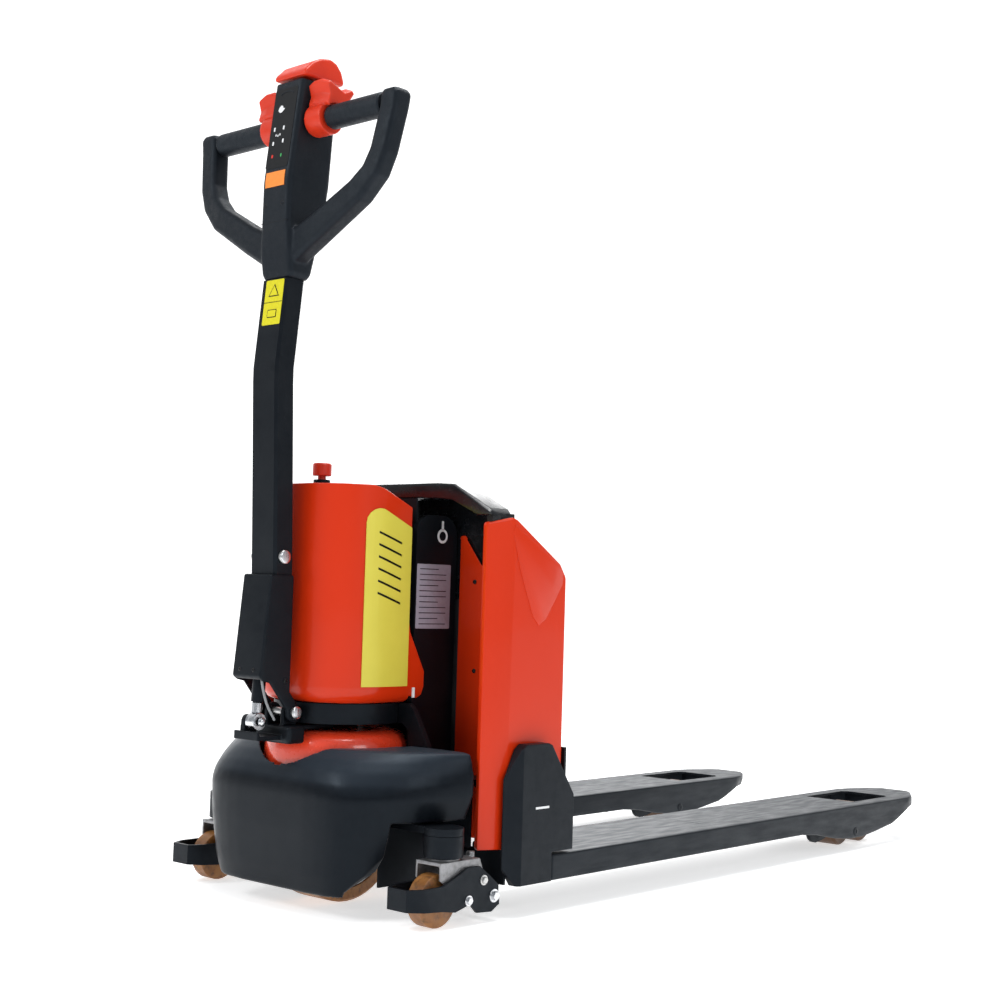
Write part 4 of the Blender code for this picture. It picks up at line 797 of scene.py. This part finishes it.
# Tiller hardware: channel screws, pin ends, spring fittings and a cable.
for number, (place, axis) in enumerate([(heel(0.0148, -0.3980, 0.3420), (0, -1, 0.1)),
                                        (heel(-0.0148, -0.3980, 0.3420), (0, -1, 0.1)),
                                        (heel(0.0310, -0.3537, 0.3267), (1, 0, 0)),
                                        (heel(-0.0310, -0.3537, 0.3267), (-1, 0, 0))]):
    button_screw("channel_screw_%d" % number, place, axis, 0.0034, INK, "tiller")
for side in (1, -1):
    pin_cap("pivot_pin_cap_%d" % side, heel(side * 0.0360, *PIVOT), (side, 0, 0), 0.0082, 0.0016,
            STEEL, "tiller")
    pin_cap("spring_pin_cap_%d" % side, heel(side * 0.0325, *SPRING_PIN), (side, 0, 0), 0.0092,
            0.0016, STEEL, "tiller")
hose("tiller_cable", [heel(0.0225, -0.3890, 0.338), heel(0.0225, -0.3885, 0.323),
                      heel(0.0225, -0.3790, 0.295), heel(0.0230, -0.3640, 0.271)], 0.0019, CABLE,
     "gas_spring")
EYE = heel(0, *SPRING_EYE)
UP_SPRING = Vector((0, 0.0165, 0.235)).normalized()
lathe("spring_eye_ring", [(0.0058, -0.0086), (0.0118, -0.0086), (0.0128, -0.0074),
                          (0.0128, 0.0074), (0.0118, 0.0086), (0.0058, 0.0086)], EYE, (1, 0, 0),
      STEEL, "gas_spring", 32)
lathe("spring_ball_stud", [(0, 0.0120), (0.0048, 0.0120), (0.0062, 0.0128), (0.0066, 0.0150),
                           (0.0050, 0.0172), (0.0030, 0.0180), (0, 0.0182)], EYE, (1, 0, 0), STEEL,
      "drive_unit", 24)
lathe("spring_ferrule", [(0, 0.0125), (0.0070, 0.0125), (0.0078, 0.0135), (0.0078, 0.0262),
                         (0.0066, 0.0275), (0, 0.0275)], EYE, UP_SPRING, STEEL, "gas_spring", 24)


# --- chassis: plate, marks and screws -------------------------------------------------------------
def column(y, z):
    """A point on the outer side of the column plate."""
    return heel(COLUMN_X, y, z)


def column_mark(name, outline, mat, height, **shape):
    """Thin mark on the outer side of the right column plate."""
    slab(name, [column(y, z) for y, z in outline], (1, 0, 0), height, mat, "chassis", **shape)


column_mark("name_plate", rounded(-0.1337, 0.4528, 0.0361, 0.0482, 0.002), PLATE, 0.0008,
            edge=0.0002)
for row in range(11):
    z = 0.4930 - row * 0.0082
    start = -0.1640
    end = start + 2 * (0.0285 if row % 3 else 0.0200)
    column_mark("name_plate_line_%d" % row, [(start, z), (end, z), (end, z + 0.0012),
                                             (start, z + 0.0012)], INK, 0.0010, sink=0.0001)
lathe("lifting_mark", [(0.0070, -0.0004), (0.0110, -0.0004), (0.0110, 0.0005), (0.0070, 0.0005)],
      column(-0.1175, 0.5440), (1, 0, 0), WHITE, "chassis", 28)
column_mark("lifting_mark_stem", rounded(-0.1175, 0.5600, 0.0021, 0.0070, 0.0015), WHITE, 0.0005)
for number, (x, y, z) in enumerate([(0.1958, -0.2304, 0.2292), (0.1990, -0.2246, 0.2292),
                                    (0.2106, -0.2010, 0.2300)]):
    for word, side in SIDES:
        button_screw("cover_screw_%d_%s" % (number, word), heel(side * x, y, z), (0, 0, 1), 0.0030,
                     STEEL, "chassis")
for word, side in SIDES:
    lathe("case_stud_" + word, [(0, -0.004), (0.0024, -0.004), (0.0024, 0.010), (0.0018, 0.0108),
                                (0, 0.0108)],
          heel(side * 0.1130, -0.1765, 0.3075), (0, 0, 1), WHITE, "chassis", 14)


# Dark strips at the vent slots of the yellow panels: painted shade of the slot openings.
def slot_x(y):
    """How far out the yellow panel's skin is at some y."""
    centre_x, centre_y, radius = 0.0230, -0.2380, 0.0886
    if y > centre_y:
        return centre_x + radius
    return centre_x + math.sqrt(radius * radius - (y - centre_y) ** 2)


SLOT_SECTION = ((0.0010, -0.0017), (-0.0008, -0.0017), (-0.0008, 0.0017), (0.0010, 0.0017))
for word, side in SIDES:
    for row in range(6):
        z = 0.5440 - 0.0176 * row
        rings = []
        for k in range(6):
            y = -0.2541 + 0.0447 * k / 5
            middle = z - 0.015 * (y + 0.2545) / 0.0455
            rings.append([(side * (slot_x(y) - d), y + HEEL, middle + h) for d, h in SLOT_SECTION])
        # One thin dark strip across the skin, painted shade of a slot.
        back = loft_object("vent_slot_%s_%d" % (word, row), rings)
        back.data.materials.append(INK)
        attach(back, "chassis")

# Dark plate that closes the gap between the column plates above the pump case.
cap = block((-0.1000, 0.1000), (-0.1690, -0.1660), (0.5560, 0.5985))
cap.name = "column_cap"
cap.data.materials.append(PAINT)
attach(cap, "chassis")

# Dark plates that close the view between the casters and the housing; they stand in for a chassis
# plate there and paint the shade between the parts.
for word, side in SIDES:
    dark_fill = block(sorted((side * 0.1465, side * 0.2190)), (-0.1580, -0.1560), (0.0960, 0.1790))
    dark_fill.name = "dark_fill_plate_" + word
    dark_fill.data.materials.append(PAINT)
    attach(dark_fill, "chassis")

# --- battery housing: screws, facets and marks ----------------------------------------------------
for word, side in SIDES:
    for number, (x, z) in enumerate([(0.1487, 0.4764), (0.1525, 0.3431)]):
        button_screw("recess_screw_%s_%d" % (word, number), heel(side * x, -0.0884, z), (0, -1, 0),
                     0.0034, INK, "fork_frame")
    facet = [(-0.1270, 0.5600), (-0.1300, 0.5470), (-0.1140, 0.4960), (-0.0830, 0.4280),
             (-0.0690, 0.4150), (-0.0530, 0.4250), (-0.0170, 0.4760), (-0.0150, 0.4950),
             (-0.0220, 0.5040)]
    slab("cover_facet_" + word, [heel(side * HOUSING_X, y, z) for y, z in facet], (side, 0, 0),
         0.0011, RED, "fork_frame", edge=0.0010)
    dash = rounded(-0.0720, 0.1530, 0.0150, 0.0016, 0.0008)
    slab("capacity_mark_" + word, [heel(side * FORK_OUT_X, y, z) for y, z in dash], (side, 0, 0),
         0.0004, WHITE, "fork_frame")

# Back of the housing: a panel with its screws, and bolts on the plate below.
slab("rear_panel", [heel(x, -0.0015, z) for x, z in rounded(0.0, 0.3600, 0.2050, 0.1080, 0.012)],
     (0, 1, 0), 0.0012, PAINT, "fork_frame", sink=0.0008, edge=0.0005)
PANEL_SCREWS = ((0.1930, 0.4560), (0.1930, 0.3600), (0.1930, 0.2640), (0.0700, 0.4560),
                (0.0700, 0.2640))
for number, (x, z) in enumerate([(side * a, z) for side in (1, -1) for a, z in PANEL_SCREWS]):
    button_screw("rear_panel_screw_%d" % number, heel(x, -0.0003, z), (0, 1, 0), 0.0042, ZINC,
                 "fork_frame")
PLATE_BOLTS = ((0.2480, 0.2150), (0.2480, 0.1150), (0.0800, 0.1900))
for number, (x, z) in enumerate([(side * a, z) for side in (1, -1) for a, z in PLATE_BOLTS]):
    hex_bolt("rear_plate_bolt_%d" % number, heel(x, -0.0010, z), (0, 1, 0), 0.0060, "fork_frame",
             ZINC)

# --- forks ----------------------------------------------------------------------------------------
for word, side in SIDES:
    for number, x in enumerate((FORK_OUT_X, FORK_IN_X)):
        out = 1 if number == 0 else -1
        lathe("fork_bolt_%s_%d" % (word, number), [(0, -0.001), (0.0085, -0.001), (0.0085, 0.0003),
                                                   (0.0076, 0.0006), (0.0036, 0.0007),
                                                   (0.0034, -0.0002), (0, -0.0004)],
              heel(side * x, 0.846, 0.035), (side * out, 0, 0), PAINT, "fork_frame", 24)

for word, side in SIDES:
    seam = ((0.1390, 0.3990), (0.2610, 0.3990), (0.2610, 0.4004), (0.1390, 0.4004))
    slab("fork_seam_" + word, [heel(side * x, y, FORK_TOP) for x, y in seam], (0, 0, 1), 0.0003,
         CABLE, "fork_frame")

# --- casters --------------------------------------------------------------------------------------
for word, side in SIDES:
    swivel = "caster_swivel_" + word
    outer = side * GUARD_X
    for number, (y, z, radius, steel) in enumerate([(-0.2100, 0.0350, 0.0052, STEEL),
                                                    (-0.1575, 0.0359, 0.0066, STEEL),
                                                    (-0.1800, 0.0600, 0.0050, ZINC)]):
        hex_bolt("guard_bolt_%s_%d" % (word, number), heel(outer, y, z), (side, 0, 0), radius,
                 swivel, steel)
    centre = heel(side * CASTER_X, CASTER_Y, 0.1238)
    lathe("caster_rim_" + word, [(0.0100, -0.001), (0.0275, -0.001), (0.0272, 0.0004),
                                 (0.0250, 0.0012), (0.0120, 0.0014), (0.0100, 0.0006)], centre,
          (0, 0, 1), PAINT, "chassis", 36)
    lathe("caster_nipple_" + word, [(0, -0.003), (0.0045, -0.003), (0.0045, 0.0022),
                                    (0.0026, 0.0032), (0.0026, 0.0050), (0.0034, 0.0062),
                                    (0.0026, 0.0078), (0, 0.0082)], centre, (0, 0, 1), STEEL,
          swivel, 18)
